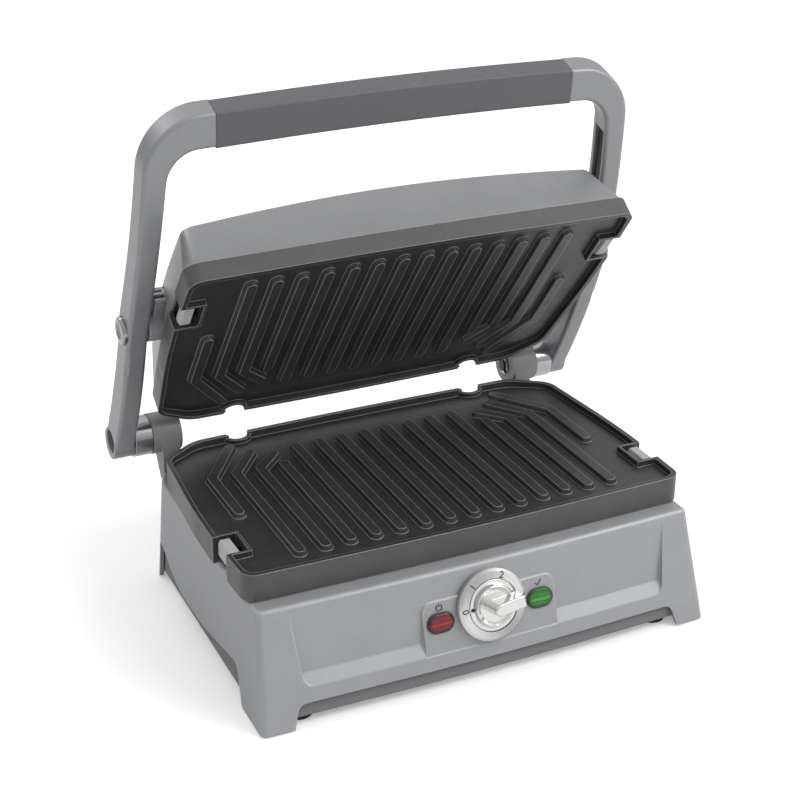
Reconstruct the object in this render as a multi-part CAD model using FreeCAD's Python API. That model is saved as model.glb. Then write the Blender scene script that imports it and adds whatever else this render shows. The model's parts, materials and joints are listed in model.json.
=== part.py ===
import FreeCAD, Part
import math
import os

# Contact grill with a U handle, modelled closed and then opened about its rear hinge.
# Millimetres, X to the right, Y to the back, Z up, floor at zero.

# cooking plates
rim_z = 88.2                # rim plane of the lower plate
closed_gap = 0.6            # between the two rims when shut
plate_front_y = 30.4        # front corners of the plates
plate_bow = 3.0             # how far the middle of the front edge stands forward
plate_front_half = 144.6
plate_side_half = 146.5     # widest place of the slightly bowed sides
plate_side_y = 100.0
plate_corner_half = 139.5   # rear corners of the sides
plate_corner_y = 184.5
plate_bend_half = 115.0     # ends of the rear edge
plate_bend_y = 201.5
plate_rear_y = 203.5
lower_skirt = 17.4
upper_skirt = 12.5
skirt_wall = 3.0
tray_depth = 4.0
plate_floor = 3.5
gutter_y = 184.0             # fold where the tray starts to fall towards the spouts
gutter_drop = 1.0
front_corner_r = 9.0
rear_corner_r = 14.0
rear_bend_r = 26.0
bow_r = 2600.0
side_bow_r = 600.0

rib_pitch = 16.0
rib_height = 3.0
rib_base_w = 8.6
rib_top_w = 6.2
rib_front_y = 47.2          # front ends of the middle ribs
rib_front_step = 0.45       # each rib further out starts this much further back
rib_rear_y = 171.0
rib_inner_rear_y = 151.5    # rear end of the last straight rib
rib_bend_y = 151.0
chevrons = [                # rib number from the middle, front end, end of the bent leg
    (6, 48.6, 14.5, 15.0),
    (7, 48.6, 18.0, 23.5),
    (8, 104.3, 24.0, 34.7),
]
straight_ribs = 5

spout_x = 85.0
spout_r = 7.3
spout_wall = 2.5
spout_drop = 1.6            # top of the spout wall under the rim

pocket_y = 69.3             # middle of the latch pockets
pocket_width = 21.4
pocket_inner_half = 131.3
pocket_wall = 1.6

# base
seat_gap = 0.3              # between pieces that only rest on each other
foot_height = 4.0
housing_bottom = 1.0
floor_half = 148.7          # housing at the floor
top_half = 142.9            # housing at the deck
side_rear_half = 146.0
top_side_rear_half = 140.5
front_lean = 19.8           # how far the front face leans back up to the deck
front_bow = 4.0
housing_rear_y = 222.0
rear_lean = 4.0
rear_corner_y = 196.0
rear_corner_half = 118.0
housing_corner_r = 4.0
housing_rear_r = 24.0
housing_wall = 2.6
deck_round = 3.0

arch_top = 14.5             # front and rear arches
arch_floor_half = 128.3
arch_top_half = 124.5
arch_r = 6.0
side_arch = [               # Y, Z and corner radius of the opening in the side walls
    (32.0, -1.0, 0),
    (45.0, 23.5, 6.0),
    (103.0, 14.0, 120.0),
    (152.0, 13.0, 80.0),
    (191.0, 29.0, 3.0),
    (191.0, -1.0, 0),
]

recess_low_z = 23.0
recess_fold_z = 30.0        # the bevel along the bottom of the recess ends here
recess_high_z = 66.0
recess_low_half = 119.5
recess_high_half = 124.0
recess_depth = 3.4
recess_r = 7.0
pad_half = 44.0             # raised pad round the dial
pad_high_z = 54.0
pad_sink = 0.4
pad_r = 6.0

cover_z = 6.0
cover_t = 2.5
cover_gap = 0.4
cover_wall_z = 32.0         # upper edge of the cover's side walls
cover_front_z = 19.0        # and of its front wall, under the recess
cover_front_y = 30.0
vent_count = 7
vent_pitch = 22.0
vent_w = 4.0
vent_y = (90.0, 150.0)
post_r = 10.0
post_places = [(120.0, 17.0), (123.0, 196.0)]
foot_r = 8.5
foot_stem_r = 5.5
stem_gap = 0.1
foot_stem_height = 6.0
boss_places = [(98.0, 40.0), (98.0, 196.0)]
boss_r = 4.5
screw_r = 1.5
screw_head_r = 3.2
screw_head_t = 1.8
screw_length = 14.0

# heat pans
pan_half = 125.0
pan_front_y = 54.0
pan_rear_y = 180.0
pan_depth = 15.0
pan_wall = 1.2
pan_lip_depth = 13.3        # pan rim under the plate's rim plane
pan_flange = 4.0
pan_gap = 0.4
element_r = 3.25
element_gap = 0.9
element_half = 100.0
element_front_y = 72.0
element_rear_y = 166.0
element_bend_r = 14.0
element_turn_r = 8.0        # bend of the ends down through the pan
element_drop = 6.0          # how far they come out under it
terminal_x = 34.0
reflector_t = 0.5
support_r = 3.0
support_places = [(-100.0, 119.0), (100.0, 119.0), (-60.0, 72.0), (60.0, 72.0)]
fuse_r = 3.0
fuse_length = 24.0
fuse_clip_w = 6.0

# latches
latch_stem_inner = 133.1
latch_stem_outer = 136.7
latch_tab_outer = 143.2
latch_width = 16.5
latch_travel = 2.5
latch_top_drop = 1.2
latch_stem_length = 8.5
latch_slot_gap = 0.5
latch_slope = (1.6, 6.0, 2.2)   # where the tab widens over the deck, and its slope at the top
latch_top = (136.4, 142.2)   # inner and outer edge of the tab's flat top
latch_back_drop = 5.0       # its back slopes in below the top to this depth
spring_r = 2.6
spring_wire_r = 0.45
spring_turns = 4
spring_drop = 6.5           # middle of the spring under the deck

# controls
dial_z = 45.3
dial_seat = 0.2             # the flat bezel stands off the bowed front by this much
bezel_r = 22.0
bezel_inner_r = 16.2
bezel_height = 4.6
bezel_floor = 1.6
bezel_chamfer = 1.6
spigot_r = 12.0
spigot_gap = 0.2
knob_skirt_r = 15.6
knob_skirt_t = 2.4
knob_body_r = 13.4
knob_body_t = 3.0
knob_bar_w = 7.6
knob_bar_t = 11.0
knob_bar_from = -5.0        # ends of the grip bar, which lies off the middle
knob_bar_to = 15.2
knob_bar_deg = 8.0
knob_dish = 1.2
knob_dish_wall = 1.8
pointer_r = 1.1
pointer_inset = 1.7
knob_lift = 0.4
shaft_r = 3.0
running_gap = 0.05
shaft_in_knob = 7.0
bush_r = 5.0
thermostat_size = 26.0
thermostat_depth = 16.0
lens_x = 33.0
lens_drop = 4.0             # the lamps sit this much below the dial's middle
lens_half_w = 8.0
lens_half_h = 5.4
lens_proud = 1.2
lens_depth = 6.0
lamp_r = 3.0
lamp_length = 13.0

gland_x = -70.0
gland_z = 42.0
gland_r = 7.0
gland_bore_r = 3.75
gland_out = 5.0
gland_in = 9.0
gland_flange_r = 9.5
gland_flange_t = 2.0
gland_proud = 0.6           # the flange stands off the sloping wall
terminal_y = 183.0
terminal_size = (32.0, 14.0, 14.0)
terminal_pitch = 10.0
terminal_well = 5.0
terminal_well_r = 2.0

# hinge, handle and lid
open_angle = 52.7
hub_y = 216.0
hub_z = 92.0
hub_r = 13.2
hub_inner = 121.0
hub_outer = 140.0
hub_gap = 0.3
bracket_inset = 2.0
bracket_outer_inset = 5.5
bracket_sink = 9.0
bracket_back = -5.0         # foot of the web's rear edge, from the axis
bracket_top = (7.9, 9.0)    # upper end of that edge, behind and under the axis
ring_r = 12.8
arm_inner = 151.8           # inner face of the arms beside the hinge
arm_outer = 164.8
arm_top_inner = 143.4
arm_top_outer = 157.0
hub_half_depth = 10.2       # half the arm's depth at the hinge
grip_half_depth = 6.9       # and at the grip
arm_end_r = 10.6
arm_overrun = 2.2           # the arm's round end lies this much beyond the axis
arm_straight_r = 300.0
arm_straight = 106.0        # where the taper of the arms starts
arm_bend_drop = 80.0        # and where it ends, below the top of the grip
arm_bend_in = 3.4
arm_start_deg = 5.8        # rise of the shut arm at the hinge
arm_end_deg = 31.4          # rise of the shut arm at the grip
arm_length = 233.0
grip_low = 222.5            # edges of the grip along the arm
grip_high = 242.5
grip_arch = 4.5
grip_half = 114.0
grip_wrap = 0.3             # the sleeve stands this much proud of the arms
corner_outer_r = 36.0
corner_inner_r = 20.0
arm_round = 2.4
grip_round = 1.6
grip_arch_r = 3400.0
core_half_w = 4.8
core_half_h = 6.0
core_reach = 8.0            # how far the core bar runs into each arm
channel_depth = 3.0
channel_half = 5.0
channel_from = 112.0
channel_to = 200.0
channel_skin = 1.0
pin_r = 4.0
pin_head_r = 7.2
pin_head_t = 2.5
pin_sink = 3.5              # depth of the head under the arm's outer face
washer_t = 1.0
pivot_y = 114.2
pivot_z = 113.3
pivot_boss_r = 9.0
pivot_boss_inner = 130.0
pivot_boss_short = 0.7      # the boss ends this much before the arm
pivot_pin_inset = 1.0
pivot_cap_r = 8.6
pivot_cap_t = 3.2
cap_sink = 0.9
pivot_eye_r = 9.3
fan_r = 22.0
fan_ribs = 4
fan_first_deg = 124.0
fan_step_deg = 15.0
fan_rib_w = 2.4
fan_inner = 134.0
fan_outer = 147.0
fan_plate_x = 137.5
fan_plate = 2.2
fan_spare_deg = 8.0
stop_inner = 136.0
stop_short = 1.2            # the tilt stop ends this much before the arm
stop_y = (-13.0, -5.0)      # its sides, from the pivot
stop_z = (4.0, 11.0)

shell_inset = 1.0
shell_height = 41.5
shell_top_half = 132.0
shell_top_front = 44.5
shell_top_rear = 190.0
shell_crown = 7.5
crown_margin = 0.4
shell_wall = 2.6
shell_corner_r = 6.0
shell_round = 4.0
lid_frame_t = 2.0
lid_screw_places = [(96.0, 42.5), (96.0, 189.0)]


def vec(x, y, z):
    return FreeCAD.Vector(x, y, z)


wide = 200.0                # reach of the cutting blocks to either side
across = vec(1, 0, 0)
back = vec(0, 1, 0)
up = vec(0, 0, 1)


def block(x0, x1, y0, y1, z0, z1):
    return Part.makeBox(x1 - x0, y1 - y0, z1 - z0, vec(x0, y0, z0))


def rod(radius, length, start, direction):
    return Part.makeCylinder(radius, length, start, direction)


def flipped(shape):
    return shape.mirror(vec(0, 0, 0), across)


def fused(shapes):
    whole = shapes[0]
    if len(shapes) > 1:
        whole = whole.fuse(shapes[1:])
    return whole.removeSplitter()


def rounded_wire(corners, place):
    """Closed wire through corners (a, b, radius); place(a, b) gives the point in space."""
    count = len(corners)
    spans = []
    for i in range(count):
        before = corners[i - 1]
        here = corners[i]
        after = corners[(i + 1) % count]
        din = (here[0] - before[0], here[1] - before[1])
        dout = (after[0] - here[0], after[1] - here[1])
        lin = math.hypot(din[0], din[1])
        lout = math.hypot(dout[0], dout[1])
        din = (din[0] / lin, din[1] / lin)
        dout = (dout[0] / lout, dout[1] / lout)
        turn = math.acos(max(-1.0, min(1.0, din[0] * dout[0] + din[1] * dout[1])))
        reach = here[2] * math.tan(turn / 2)
        toward = (dout[0] - din[0], dout[1] - din[1])
        size = math.hypot(toward[0], toward[1])
        first = (here[0] - din[0] * reach, here[1] - din[1] * reach)
        last = (here[0] + dout[0] * reach, here[1] + dout[1] * reach)
        if here[2] > 0:
            depth = here[2] / math.cos(turn / 2) - here[2]
            middle = (here[0] + toward[0] / size * depth, here[1] + toward[1] / size * depth)
        else:
            middle = None
        spans.append((first, middle, last))
    edges = []
    for i in range(count):
        first, middle, last = spans[i]
        following = spans[(i + 1) % count][0]
        if middle:
            edges.append(Part.Arc(place(*first), place(*middle), place(*last)).toShape())
        edges.append(Part.LineSegment(place(*last), place(*following)).toShape())
    return Part.Wire(edges)


def level(z):
    return lambda a, b: vec(a, b, z)


def prism(corners, place, direction):
    return Part.Face(rounded_wire(corners, place)).extrude(direction)


def mirrored_corners(right):
    """Corners of a symmetric outline from those with a >= 0, front middle first."""
    left = [(-a, b, r) for a, b, r in reversed(right) if a > 0]
    return right + left


# plates

def plate_corners(inset):
    side = inset
    right = [
        (0, plate_front_y - plate_bow + inset, bow_r),
        (plate_front_half - side, plate_front_y + inset, front_corner_r - inset / 2),
        (plate_side_half - side, plate_side_y, side_bow_r),
        (plate_corner_half - side, plate_corner_y - inset * 0.4, rear_corner_r - inset / 2),
        (plate_bend_half - side * 0.4, plate_bend_y - inset, rear_bend_r),
        (0, plate_rear_y - inset, bow_r),
    ]
    return mirrored_corners(right)


def rib_band(points, half_width, z):
    """Outline of a rib of one or two straight legs with round ends."""
    starts = []
    for i in range(len(points) - 1):
        dx = points[i + 1][0] - points[i][0]
        dy = points[i + 1][1] - points[i][1]
        size = math.hypot(dx, dy)
        starts.append((dx / size, dy / size))
    first = starts[0]
    last = starts[-1]
    head = points[0]
    tail = points[-1]
    right = [(head[0] + first[1] * half_width, head[1] - first[0] * half_width)]
    left = [(head[0] - first[1] * half_width, head[1] + first[0] * half_width)]
    if len(points) == 3:
        mid = points[1]
        mitre = (first[1] + last[1], -first[0] - last[0])
        scale = half_width * 2 / (mitre[0] ** 2 + mitre[1] ** 2)
        right.append((mid[0] + mitre[0] * scale, mid[1] + mitre[1] * scale))
        left.append((mid[0] - mitre[0] * scale, mid[1] - mitre[1] * scale))
    right.append((tail[0] + last[1] * half_width, tail[1] - last[0] * half_width))
    left.append((tail[0] - last[1] * half_width, tail[1] + last[0] * half_width))
    nose = (head[0] - first[0] * half_width, head[1] - first[1] * half_width)
    toe = (tail[0] + last[0] * half_width, tail[1] + last[1] * half_width)
    place = level(z)
    edges = []
    for i in range(len(right) - 1):
        edges.append(Part.LineSegment(place(*right[i]), place(*right[i + 1])).toShape())
    edges.append(Part.Arc(place(*right[-1]), place(*toe), place(*left[-1])).toShape())
    for i in range(len(left) - 1, 0, -1):
        edges.append(Part.LineSegment(place(*left[i]), place(*left[i - 1])).toShape())
    edges.append(Part.Arc(place(*left[0]), place(*nose), place(*right[0])).toShape())
    return Part.Wire(edges)


def rib(points, floor_top):
    low = rib_band(points, rib_base_w / 2, floor_top - plate_floor / 2)
    foot = rib_band(points, rib_base_w / 2, floor_top)
    top = rib_band(points, rib_top_w / 2, floor_top + rib_height)
    upright = Part.Face(low).extrude(vec(0, 0, plate_floor / 2))
    return upright.fuse(Part.makeLoft([foot, top], True, True))


def rib_paths():
    paths = []
    for i in range(straight_ribs):
        x = (i + 0.5) * rib_pitch
        rear = rib_rear_y
        if i == straight_ribs - 1:
            rear = rib_inner_rear_y
        paths.append([(x, rib_front_y + rib_front_step * i), (x, rear)])
    for number, front, step_in, step_back in chevrons:
        x = (number - 0.5) * rib_pitch
        end = (x - step_in, rib_bend_y + step_back)
        paths.append([(x, front), (x, rib_bend_y), end])
    return paths


def gutter(top):
    """Wedge behind the fold, between a level floor at top and the falling one."""
    fall = gutter_drop / (plate_rear_y - gutter_y)
    far = plate_rear_y + 1
    low = top - fall * (far - gutter_y)
    profile = [(gutter_y, top, 0), (far, low, 0), (far, top + 0.5, 0), (gutter_y, top + 0.5, 0)]
    return prism(profile, lambda a, b: vec(-wide, a, b), vec(2 * wide, 0, 0))


def grill_plate(skirt):
    """Cooking plate with its rim at rim_z, facing up, its skirt hanging below."""
    outline = plate_corners(0)
    outer = prism(outline, level(rim_z - skirt), vec(0, 0, skirt))
    floor_top = rim_z - tray_depth
    floor_low = floor_top - plate_floor
    tray = prism(plate_corners(skirt_wall), level(floor_top), vec(0, 0, tray_depth + 1))
    under_depth = floor_low - rim_z + skirt + 1
    under = prism(plate_corners(skirt_wall), level(rim_z - skirt - 1), vec(0, 0, under_depth))
    inside = prism(plate_corners(skirt_wall), level(rim_z - skirt), vec(0, 0, skirt))
    body = outer.cut([tray, under.cut(gutter(floor_low)), gutter(floor_top).common(inside)])
    added = []
    cuts = []
    for side in (-1, 1):
        y0 = pocket_y - pocket_width / 2
        y1 = pocket_y + pocket_width / 2
        wall = block(pocket_inner_half - pocket_wall, plate_side_half + 1,
                     y0 - pocket_wall, y1 + pocket_wall, floor_low, rim_z)
        hole = block(pocket_inner_half, plate_side_half + 1, y0, y1, rim_z - skirt - 1, rim_z + 1)
        spout_mid = vec(spout_x, plate_rear_y - 0.5, floor_low - gutter_drop)
        spout = rod(spout_r + spout_wall, tray_depth + plate_floor + gutter_drop - spout_drop, spout_mid, up)
        bite = rod(spout_r, skirt + 2, vec(spout_x, plate_rear_y - 0.5, rim_z - skirt - 1), up)
        if side < 0:
            wall, hole, spout, bite = [flipped(s) for s in (wall, hole, spout, bite)]
        added += [wall.common(outer), spout.common(outer)]
        cuts += [hole, bite]
    for path in rib_paths():
        one = rib(path, floor_top)
        added += [one, flipped(one)]
    body = body.fuse(added).cut(cuts).removeSplitter()
    return body


def turned_over(shape):
    """A piece of the lower half put over itself, as the same piece of the closed lid."""
    return shape.mirror(vec(0, 0, rim_z + closed_gap / 2), up)


# base shell

def housing_corners(z, inset, front_inset):
    share = (z - housing_bottom) / (deck_z - housing_bottom)
    half = floor_half + (top_half - floor_half) * share - inset
    rear_half = side_rear_half + (top_side_rear_half - side_rear_half) * share - inset
    front = front_lean * share + front_inset
    rear = housing_rear_y - rear_lean * share - inset
    corner_r = max(1.0, housing_corner_r - inset)
    right = [
        (0, front - front_bow, bow_r),
        (half, front, corner_r),
        (rear_half, rear_corner_y - inset / 2, housing_rear_r),
        (rear_corner_half - inset / 2, rear, housing_rear_r),
        (0, rear, 0),
    ]
    return mirrored_corners(right)


def housing_loft(z0, z1, inset, front0, front1):
    low = rounded_wire(housing_corners(z0, inset, front0), level(z0))
    high = rounded_wire(housing_corners(z1, inset, front1), level(z1))
    return Part.makeLoft([low, high], True, True)


deck_z = rim_z - lower_skirt - seat_gap


def front_point(z):
    """Y of the bowed front face at the middle."""
    share = (z - housing_bottom) / (deck_z - housing_bottom)
    half = floor_half + (top_half - floor_half) * share
    rounding = bow_r / math.cos(math.atan(front_bow / half)) - bow_r
    return front_lean * share - front_bow + rounding


face_angle = math.atan(front_lean / (deck_z - housing_bottom))
dial_out = vec(0, -math.cos(face_angle), math.sin(face_angle))
dial_in = dial_out * -1
dial_centre = vec(0, front_point(dial_z), dial_z) + dial_out * dial_seat


def front_recess():
    outline = [
        (recess_low_half, recess_low_z, recess_r),
        (recess_high_half, recess_high_z, 0),
        (-recess_high_half, recess_high_z, 0),
        (-recess_low_half, recess_low_z, recess_r),
    ]
    pad = [
        (pad_half, recess_low_z - 1, 0),
        (pad_half, pad_high_z, pad_r),
        (-pad_half, pad_high_z, pad_r),
        (-pad_half, recess_low_z - 1, 0),
    ]
    deep = 60.0
    place = lambda a, b: vec(a, -deep / 2, b)
    window = prism(outline, place, vec(0, deep, 0))
    pad_window = prism(pad, place, vec(0, deep, 0))
    bevel = housing_loft(recess_low_z, recess_fold_z, 0, 0, recess_depth)
    floor = housing_loft(recess_fold_z, recess_high_z, 0, recess_depth, 0)
    pad_face = housing_loft(recess_low_z, recess_high_z, 0, pad_sink, pad_sink)
    return [window.cut([pad_window, bevel, floor]), window.common(pad_window).cut(pad_face)]


def arches():
    deep = housing_rear_y + 40
    front = [
        (arch_floor_half + 1, housing_bottom - 2, 0),
        (arch_top_half, arch_top, arch_r),
        (-arch_top_half, arch_top, arch_r),
        (-arch_floor_half - 1, housing_bottom - 2, 0),
    ]
    return [
        prism(front, lambda a, b: vec(a, -20, b), vec(0, deep, 0)),
        prism(side_arch, lambda a, b: vec(-wide, a, b), vec(2 * wide, 0, 0)),
    ]


def base_housing():
    outer = housing_loft(housing_bottom, deck_z, 0, 0, 0)
    top_edges = [e for e in outer.Edges if e.BoundBox.ZMin > deck_z - 0.01]
    outer = outer.makeFillet(deck_round, top_edges)
    inner = housing_loft(housing_bottom, deck_z, housing_wall, housing_wall, housing_wall)
    inner = inner.cut(block(-wide, wide, -50, 300, deck_z - housing_wall, deck_z + 10))
    room = block(-wide, wide, -50, 300, housing_bottom - 5, housing_bottom)
    body = outer.cut(front_recess())
    thick = housing_wall + recess_depth
    behind = housing_loft(housing_bottom, deck_z, housing_wall, thick, thick)
    behind = behind.cut(block(-wide, wide, -50, 300, deck_z - housing_wall, deck_z + 10))
    band = block(-wide, wide, -50, 60, recess_low_z - housing_wall, deck_z)
    inner = inner.cut(band).fuse(behind.common(band))
    body = body.cut([inner, room])
    body = body.cut(arches())
    opening = block(-pan_half - pan_gap, pan_half + pan_gap, pan_front_y - pan_gap, pan_rear_y + pan_gap,
                    deck_z - housing_wall - 1, deck_z + 1)
    slot = latch_slot(deck_z - housing_wall - 1, deck_z + 1)
    web = bracket_web(stem_gap)
    cuts = [opening, slot, flipped(slot), web, flipped(web), spigot_hole(), gland_hole()]
    cuts += [lens_block(side, spigot_gap) for side in (-1, 1)]
    bosses = []
    for x, y in boss_places:
        boss = rod(boss_r, deck_z - housing_wall - cover_z - cover_t, vec(x, y, cover_z + cover_t), up)
        pilot = rod(screw_r, screw_length, vec(x, y, cover_z + cover_t - 1), up)
        bosses += [boss, flipped(boss)]
        cuts += [pilot, flipped(pilot)]
    return body.fuse(bosses).cut(cuts).removeSplitter()


def latch_slot(z0, z1):
    half = latch_width / 2 + latch_slot_gap
    return block(latch_stem_inner - latch_slot_gap, latch_stem_outer + latch_travel + latch_slot_gap,
                 pocket_y - half, pocket_y + half, z0, z1)


def spigot_hole():
    return rod(spigot_r + spigot_gap, 30, dial_centre + dial_out * 10, dial_in)


def gland_hole():
    return rod(gland_r + spigot_gap, 30, vec(gland_x, housing_rear_y - 15, gland_z), back)


def bottom_cover():
    """Tray let into the housing from below; its walls close the arches from inside."""
    outside = housing_wall + cover_gap
    inside = outside + cover_t
    tub = housing_loft(cover_z, cover_wall_z, outside, outside, outside)
    hollow = housing_loft(cover_z, cover_wall_z, inside, inside, inside)
    hollow = hollow.cut(block(-wide, wide, -50, 300, cover_z, cover_z + cover_t))
    over_front = block(-wide, wide, -50, cover_front_y, cover_front_z, cover_wall_z)
    shapes = [tub.cut([hollow, over_front])]
    cuts = []
    for x, y in post_places:
        post = rod(post_r, cover_z - foot_height, vec(x, y, foot_height), up)
        stem = rod(foot_stem_r + stem_gap, foot_stem_height + stem_gap, vec(x, y, foot_height), up)
        shapes += [post, flipped(post)]
        cuts += [stem, flipped(stem)]
    for x, y in boss_places:
        hole = rod(screw_r + stem_gap, cover_t + 2, vec(x, y, cover_z - 1), up)
        cuts += [hole, flipped(hole)]
    for i in range(vent_count):
        x = (i - (vent_count - 1) / 2) * vent_pitch
        cuts.append(block(x - vent_w / 2, x + vent_w / 2, vent_y[0], vent_y[1],
                          cover_z - 1, cover_z + cover_t + 1))
    return fused(shapes).cut(cuts)


def rubber_feet():
    feet = []
    for x, y in post_places:
        pad = rod(foot_r, foot_height, vec(x, y, 0), up)
        stem = rod(foot_stem_r, foot_stem_height, vec(x, y, foot_height), up)
        foot = pad.fuse(stem).removeSplitter()
        feet += [foot, flipped(foot)]
    return Part.makeCompound(feet)


def screw(start, direction, length):
    head = rod(screw_head_r, screw_head_t, start - direction * screw_head_t, direction)
    socket = rod(screw_head_r / 2, screw_head_t / 2, start - direction * screw_head_t, direction)
    shank = rod(screw_r - running_gap, length, start, direction)
    return head.cut(socket).fuse(shank).removeSplitter()


def base_screws():
    screws = []
    for x, y in boss_places:
        one = screw(vec(x, y, cover_z), up, screw_length)
        screws += [one, flipped(one)]
    return Part.makeCompound(screws)


# heat pans

pan_top = rim_z - pan_lip_depth
pan_floor_z = pan_top - pan_depth
element_z = rim_z - tray_depth - plate_floor - element_gap - element_r


def heat_pan(flange_top):
    """Sheet pan under a plate; its flange hangs under the deck that carries it."""
    outer = block(-pan_half, pan_half, pan_front_y, pan_rear_y, pan_floor_z, pan_top)
    inner = block(-pan_half + pan_wall, pan_half - pan_wall, pan_front_y + pan_wall, pan_rear_y - pan_wall,
                  pan_floor_z + pan_wall, pan_top + 1)
    flange = block(-pan_half - pan_flange, pan_half + pan_flange, pan_front_y - pan_flange,
                   pan_rear_y + pan_flange, flange_top - pan_wall, flange_top)
    flange = flange.cut(block(-pan_half, pan_half, pan_front_y, pan_rear_y, pan_floor_z, pan_top + 1))
    supports = []
    for x, y in support_places:
        supports.append(rod(support_r, element_z - element_r - pan_floor_z - pan_wall,
                            vec(x, y, pan_floor_z + pan_wall), up))
    holes = []
    for side in (-1, 1):
        start = vec(side * terminal_x, element_rear_y, pan_floor_z - 2)
        holes.append(rod(element_r + seat_gap, pan_wall + 4, start, up))
    return outer.cut(inner).fuse([flange] + supports).cut(holes).removeSplitter()


def reflector():
    z0 = pan_floor_z + pan_wall
    sheet = block(-pan_half + 2 * pan_wall, pan_half - 2 * pan_wall, pan_front_y + 2 * pan_wall,
                  pan_rear_y - 2 * pan_wall, z0, z0 + reflector_t)
    holes = [rod(support_r + pan_gap, 4, vec(x, y, z0 - 1), up) for x, y in support_places]
    for side in (-1, 1):
        holes.append(rod(element_r + pan_gap, 4, vec(side * terminal_x, element_rear_y, z0 - 1), up))
    return sheet.cut(holes)


def heating_element():
    """Tube bent once round the pan, its two ends turned down through the floor."""
    r = element_bend_r
    z = element_z
    drop = pan_floor_z - element_drop
    q = math.sqrt(0.5)
    edges = []
    points = [
        (-terminal_x, element_rear_y), (-element_half, element_rear_y), (-element_half, element_front_y),
        (element_half, element_front_y), (element_half, element_rear_y), (terminal_x, element_rear_y),
    ]
    turn = element_turn_r
    start = vec(-terminal_x, element_rear_y, drop)
    rise = vec(-terminal_x, element_rear_y, z - turn)
    edges.append(Part.LineSegment(start, rise).toShape())
    mid = vec(-terminal_x - turn * (1 - q), element_rear_y, z - turn * (1 - q))
    last = vec(-terminal_x - turn, element_rear_y, z)
    edges.append(Part.Arc(rise, mid, last).toShape())
    for i in range(1, 5):
        before = points[i - 1]
        here = points[i]
        after = points[i + 1]
        a = vec(before[0] - here[0], before[1] - here[1], 0).normalize()
        b = vec(after[0] - here[0], after[1] - here[1], 0).normalize()
        corner = vec(here[0], here[1], z)
        p = corner + a * r
        s = corner + b * r
        m = corner + (a + b) * (r * (1 - q))
        edges.append(Part.LineSegment(last, p).toShape())
        edges.append(Part.Arc(p, m, s).toShape())
        last = s
    end = vec(terminal_x + turn, element_rear_y, z)
    edges.append(Part.LineSegment(last, end).toShape())
    mid = vec(terminal_x + turn * (1 - q), element_rear_y, z - turn * (1 - q))
    fall = vec(terminal_x, element_rear_y, z - turn)
    edges.append(Part.Arc(end, mid, fall).toShape())
    edges.append(Part.LineSegment(fall, vec(terminal_x, element_rear_y, drop)).toShape())
    path = Part.Wire(edges)
    profile = Part.Wire([Part.Circle(start, up, element_r).toShape()])
    return path.makePipeShell([profile], True, False)


def thermal_fuse():
    middle = (pan_front_y + pan_rear_y) / 2
    low = pan_floor_z - fuse_r
    tube = rod(fuse_r, fuse_length, vec(-fuse_length / 2, middle, low), across)
    half = fuse_clip_w / 2
    clip = block(-half, half, middle - fuse_r - 1, middle + fuse_r + 1, low, pan_floor_z)
    return clip.fuse(tube).removeSplitter()


# latches

def latch(skirt):
    """Right latch of the plate whose skirt stands this high."""
    top = rim_z - latch_top_drop
    deck = rim_z - skirt - seat_gap
    profile = [
        (latch_stem_inner, deck - latch_stem_length, 0.6),
        (latch_stem_outer, deck - latch_stem_length, 0.6),
        (latch_stem_outer, deck + latch_slope[0], 1.0),
        (latch_tab_outer, deck + latch_slope[1], 2.0),
        (latch_tab_outer, top - latch_slope[2], 1.0),
        (latch_top[1], top, 0.6),
        (latch_top[0], top, 0.8),
        (latch_stem_inner, top - latch_back_drop, 2.0),
    ]
    place = lambda a, b: vec(a, pocket_y - latch_width / 2, b)
    return prism(profile, place, vec(0, latch_width, 0))


def latch_spring():
    z = deck_z - spring_drop
    start = pan_half + seat_gap
    length = latch_stem_inner - seat_gap - start
    pitch = (length - 2 * spring_wire_r) / spring_turns
    helix = Part.makeHelix(pitch, pitch * spring_turns, spring_r - spring_wire_r)
    profile = Part.Wire([Part.Circle(vec(spring_r - spring_wire_r, 0, 0), back, spring_wire_r).toShape()])
    coil = Part.Wire(helix.Edges).makePipeShell([profile], True, True)
    coil.rotate(vec(0, 0, 0), back, 90)
    coil.translate(vec(start + spring_wire_r, pocket_y, z))
    return coil


# controls

def on_dial(offset):
    return dial_centre + dial_out * offset


def dial_bezel():
    ring = rod(bezel_r, bezel_height, on_dial(0), dial_out)
    edge = [e for e in ring.Edges if abs((e.CenterOfMass - on_dial(bezel_height)).Length) < 0.01]
    ring = ring.makeChamfer(bezel_chamfer, edge)
    well = rod(bezel_inner_r, bezel_height, on_dial(bezel_floor), dial_out)
    spigot = rod(spigot_r, wall_back() - seat_gap, on_dial(0), dial_in)
    bore = rod(bush_r + running_gap, 40, on_dial(20), dial_in)
    return ring.cut(well).fuse(spigot).cut(bore).removeSplitter()


def knob_base():
    return bezel_floor + knob_lift


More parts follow.
